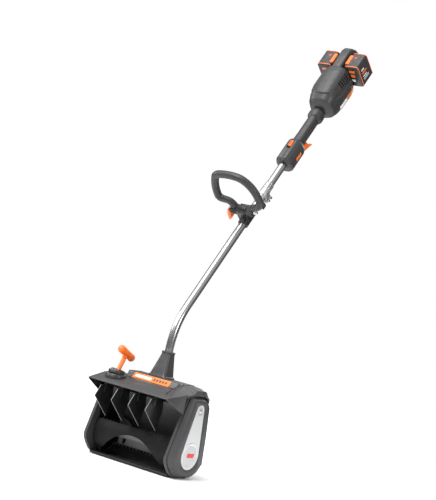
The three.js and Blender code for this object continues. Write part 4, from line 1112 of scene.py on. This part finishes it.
# ---------------------------------------------------------------- motor housing
def step(x, a, b):
    """A smooth rise from 0 at a to 1 at b."""
    u = min(1.0, max(0.0, (x - a) / (b - a)))
    return u * u * (3 - 2 * u)


# t, half width across, half height, height of the middle
MOTOR_STATIONS = ((553, 24, 24, 0), (555, 30, 29.5, 0.3), (559, 36.6, 35.6, 1), (571, 45, 46, 1.6),
                  (592, 50.8, 54.8, 3), (625, 53.8, 61.6, 4), (690, 52.8, 63.4, 3),
                  (712, 49, 61.6, 2.4), (719, 45, 59.6, 2))
MOTOR_POWER = 2.7


def motor_station(t):
    """The housing's half widths and the height of its middle at t."""
    for (t0, *a), (t1, *b) in zip(MOTOR_STATIONS, MOTOR_STATIONS[1:]):
        if t <= t1:
            u = (t - t0) / (t1 - t0)
            return [p + (q - p) * u for p, q in zip(a, b)]
    return list(MOTOR_STATIONS[-1][1:])


def motor_point(t, angle):
    """The housing's skin: a squarish barrel with a raised back and a sunk panel on each flank."""
    half_x, half_n, centre = motor_station(t)
    c, s = math.cos(angle), math.sin(angle)
    x = math.copysign(half_x * abs(c) ** (2 / MOTOR_POWER), c)
    n = centre + math.copysign(half_n * abs(s) ** (2 / MOTOR_POWER), s)
    bow = 12 * (abs(x) / 40) ** 2
    crown = step(n, 21, 26) * step(t, 586 + bow, 590 + bow) * (1 - step(abs(x), 42, 45))
    flank_low = 24 - 12 * step(t, 588, 640)
    flank_high = 24 + 30 * step(t, 586, 650)
    flank = step(n, flank_low - 1.5, flank_low) * (1 - step(n, 50, 52)) * step(t, 586, 589)
    flank *= 1 - step(n, flank_high - 1.5, flank_high)
    flank *= step(abs(x), 38, 41)
    out = Vector((c, s)).normalized()
    lift = 2.6 * crown - 3.4 * flank
    return (x + out.x * lift, t, n + out.y * lift)


def motor_housing():
    """Two half shells with five vents in each flank, and their screws."""
    steps_t = [553, 554, 555, 557, 559, 562, 566] + [569 + 2 * i for i in range(75)] + [719]
    count = 110
    seam = 0.15
    for side, word in SIDES:
        rings = []
        for t in steps_t:
            ring = []
            for i in range(count + 1):
                x, at, n = motor_point(t, -math.pi / 2 + math.pi * i / count)
                ring.append((side * max(x, seam), at, n))
            rings.append(ring)
        shell = piece("motor_shell_" + word, *lofted(rings), on_tube, "machine", CHARCOAL,
                      ["motor_housing_" + word])
        vent_x = sorted((side * 34.0, side * 60.0))
        for i in range(5):
            t = 650 + 11.5 * i
            foot, top = 24 - 1.5 * i, 49 - 2 * i
            vent = [(t, foot), (t + 6, foot), (t + 6, top), (t, top)]
            cut_out(shell, "vent_cut", *prism(vent, *vent_x), on_tube, "machine", ease=1.6)
        smooth(shell, 40)
        for k, (t, n) in enumerate(((568, 24), (706, -42), (640, -46))):
            x = motor_point(t, math.atan2(n, 30))[0]
            screw("motor_screw_%s_%d" % (word, k), (side * (x - 0.6), t, n), (side, 0, 0.2), 3.4, on_tube)


def spine():
    """The back bridge between the packs, in two halves, with its ribbed rubber bumper."""
    outline = [(704, -50), (800, -47.5), (820.5, -33), (835.5, -22), (841.7, 8), (836, 26), (831.5, 40),
               (822, 51.5), (813.5, 61.5), (796, 67.6), (760, 67), (716, 64), (700, 58)]
    half = 19.0
    for side, word in SIDES:
        x0, x1 = sorted((side * 0.15, side * half))
        thing = piece("spine_" + word, *prism(outline, x0, x1), on_tube, "machine", CHARCOAL)
        bevel = thing.modifiers.new("edges", "BEVEL")
        bevel.width = 8 * MM
        bevel.segments = 8
        bevel.limit_method = "WEIGHT"
        mark = thing.data.attributes.new("bevel_weight_edge", "FLOAT", "EDGE")
        for edge in thing.data.edges:
            xs = [thing.data.vertices[i].co.x for i in edge.vertices]
            outer = all(abs(abs(x) - half * MM) < 1e-5 for x in xs)
            mark.data[edge.index].value = 1.0 if outer else 0.0
        settled(thing)
        smooth(thing)
        notch = rounded_box(-12, 12, 815, 860, -12, 30)
        cut_out(thing, "spine_notch", *notch, on_tube, "machine")
    core = [(816, -11), (834, -11), (837, -4), (839.5, 8), (833, 29), (816, 29)]
    bumper = piece("bumper_core", *prism(core, -11.4, 11.4), on_tube, "machine", RUBBER, ["rear_bumper"])
    bevelled(bumper, 1.5, 3)
    for i in range(5):
        n = -7 + 7.4 * i
        block = rounded_box(-10.5, 10.5, 830, 839.6 - 0.9 * abs(i - 1.8), n, n + 2.4)
        rib = piece("bumper_rib_%d" % (i + 1), *block, on_tube, "machine", RUBBER)
        bevelled(rib, 0.5, 2)


def motor_marks():
    """Plain pale and orange strips along the housing's lower right and left edge."""
    levels = [-34 + 17 * k / 6 for k in range(7)]
    skin = [(-0.6, n) for n in levels] + [(0.5, n) for n in reversed(levels)]
    count = 12
    for side, word in SIDES:
        for k, (t0, t1, ink) in enumerate(((606, 654, PRINT_WHITE), (657, 714, PRINT_ORANGE))):
            rings = []
            for i in range(count + 1):
                t = t0 + (t1 - t0) * i / count
                half_x, half_n, centre = motor_station(t)
                ring = []
                for lift, n in skin:
                    share = min(0.999, abs(n - centre) / half_n)
                    x = half_x * (1 - share ** MOTOR_POWER) ** (1 / MOTOR_POWER)
                    ring.append((side * (x + lift), t, n))
                rings.append(ring)
            piece("motor_mark_%s_%d" % (word, k + 1), *lofted(rings), on_tube, "machine", ink)


# ---------------------------------------------------------------- batteries
def pack_ring(inset, low_x, high_x, corner=10.0, steps=8):
    """A rounded rectangle in x and n round a battery."""
    n0, n1 = PACK_LOW + inset, PACK_HIGH - inset
    x0, x1 = low_x + inset, high_x - inset
    points = []
    for cx, cn, start in ((x1 - corner, n1 - corner, 0), (x0 + corner, n1 - corner, 1),
                          (x0 + corner, n0 + corner, 2), (x1 - corner, n0 + corner, 3)):
        for i in range(steps + 1):
            a = (start + i / steps) * math.pi / 2
            points.append((cx + corner * math.cos(a), cn + corner * math.sin(a)))
    return points


PACK_LOW = tube_box_mm("battery_right")[0][2] + 0.2
PACK_HIGH = tube_box_mm("battery_right")[1][2] - 0.2
# Plain bars in place of print: on the outer plate (t, t, n, n), and on the end down the tube (x, x, n, n).
PLATE_BARS = ((16, 34, 30, 36, PRINT_WHITE), (16, 46, 18, 24, PRINT_ORANGE), (16, 40, 6, 10, PRINT_WHITE),
              (16, 50, -2, 1, PRINT_WHITE), (16, 50, -7, -5, PRINT_WHITE))
FRONT_BARS = ((44, 66, 34, 44, PRINT_ORANGE), (46, 62, 14, 26, PRINT_ORANGE), (46, 58, -6, 4, PRINT_WHITE))


def battery(side, word):
    """A pack: shell with the latch's seat, trim bands, rail, and plain bars in place of print."""
    low, high = tube_box_mm("battery_right")
    t0, t1 = low[1], high[1]
    x_in, x_out = 28.0, high[0] - 0.2
    body = "pack_" + word

    def mirror(point):
        return on_tube((side * point[0], point[1], point[2]))

    def band(name, stations, material, replaces=()):
        rings = [[(x, t, n) for x, n in pack_ring(inset, x_in, x_out)] for t, inset in stations]
        return piece("%s_%s" % (body, name), *lofted(rings), mirror, body, material, replaces)

    def block(name, sides, material, ease=None, slot=None):
        thing = piece("%s_%s" % (body, name), *rounded_box(*sides), mirror, body, material, slot=slot)
        if ease:
            bevelled(thing, *ease)

    shell = band("shell", ((t0, 4.2), (t0 + 1.2, 2.6), (t0 + 4.5, 0.7), (t0 + 10, 0.5), (t1 - 10, 0.5),
                           (t1 - 4.5, 0.7), (t1 - 1.2, 2.6), (t1, 4.2)), CHARCOAL_FINE, ["battery_" + word])
    seat_low, seat_high = tube_box_mm("latch_" + word)
    seat = rounded_box(seat_low[0] - 0.6, seat_high[0] + 0.6, seat_low[1] - 0.6, seat_high[1] + 0.6,
                       seat_low[2] - 5.0, PACK_HIGH + 4)
    cut_out(shell, "seat_cut_" + word, *seat, on_tube, body)
    for k, t in enumerate((t0 + 3.4, t1 - 6.2)):
        band("trim_%d" % (k + 1), ((t, 1.2), (t + 0.5, 0.15), (t + 2.3, 0.15), (t + 2.8, 1.2)), ORANGE)
    block("rail", (21.7, 29, t0 + 12, t1 - 12, PACK_LOW + 8, PACK_HIGH - 8), BLACK, (1.0, 2),
          "charcoal_plastic")
    block("plate", (x_out - 1.0, x_out - 0.25, t0 + 12, t1 - 12, PACK_LOW + 14, PACK_HIGH - 12), PRINT_DARK,
          (0.4, 2))
    for k, (a, b, n0, n1, ink) in enumerate(PLATE_BARS):
        block("bar_%d" % (k + 1), (x_out - 0.4, x_out - 0.05, t0 + a, t0 + b, n0, n1), ink)
    for k, (x0, x1, n0, n1, ink) in enumerate(FRONT_BARS):
        block("front_%d" % (k + 1), (x0, x1, t0 - 0.25, t0 + 0.4, n0, n1), ink)
    block("pad", (42, 66, t0 + 14, t1 - 12, PACK_HIGH - 2, PACK_HIGH - 0.1), PRINT_DARK, (0.8, 3))
    for k in range(4):
        t = t0 + 18 + 4.2 * k
        block("rib_%d" % (k + 1), (46, 62, t, t + 1.4, PACK_HIGH - 1, PACK_HIGH + 0.15), BLACK, (0.3, 1),
              "charcoal_plastic")
    button_low, button_high = tube_box_mm("charge_button_" + word)
    centre = (side * 52, (button_low[1] + button_high[1]) / 2, PACK_HIGH - 0.1)
    cap = turned([(4.6, -5.5), (4.8, 0.0), (4.4, 0.55), (3.2, 0.8), (0.1, 0.7)], 32)
    piece("charge_cap_" + word, *cap, about(centre, (0, 0, 1), on_tube), "charge_" + word, RED,
          ["charge_button_" + word])


def latch(word):
    """The orange release key with four ribs."""
    low, high = tube_box_mm("latch_" + word)
    body = "latch_" + word
    key = rounded_box(low[0] + 0.3, high[0] - 0.3, low[1] + 0.3, high[1] - 0.3, low[2], high[2] - 0.2)
    bevelled(piece(body + "_look", *key, on_tube, body, ORANGE, [body]), 1.6, 4)
    for k in range(4):
        t = low[1] + 9 + 5 * k
        block = rounded_box(low[0] + 3, high[0] - 3, t, t + 1.6, high[2] - 1, high[2] - 0.02)
        bevelled(piece("%s_rib_%d" % (body, k + 1), *block, on_tube, body, ORANGE), 0.4, 2)


def build():
    side_plates()
    belt_cover()
    badge()
    hood()
    hood_label()
    neck()
    vanes()
    lever()
    lever_base()
    rotor()
    chamber()
    lower_tube()
    upper_tube()
    coupler()
    loop_handle()
    handle_clamp()
    switch_housing()
    slider()
    trigger()
    grip()
    motor_housing()
    spine()
    motor_marks()
    for side, word in SIDES:
        battery(side, word)
        latch(word)


dress_frame()
build()
stage()
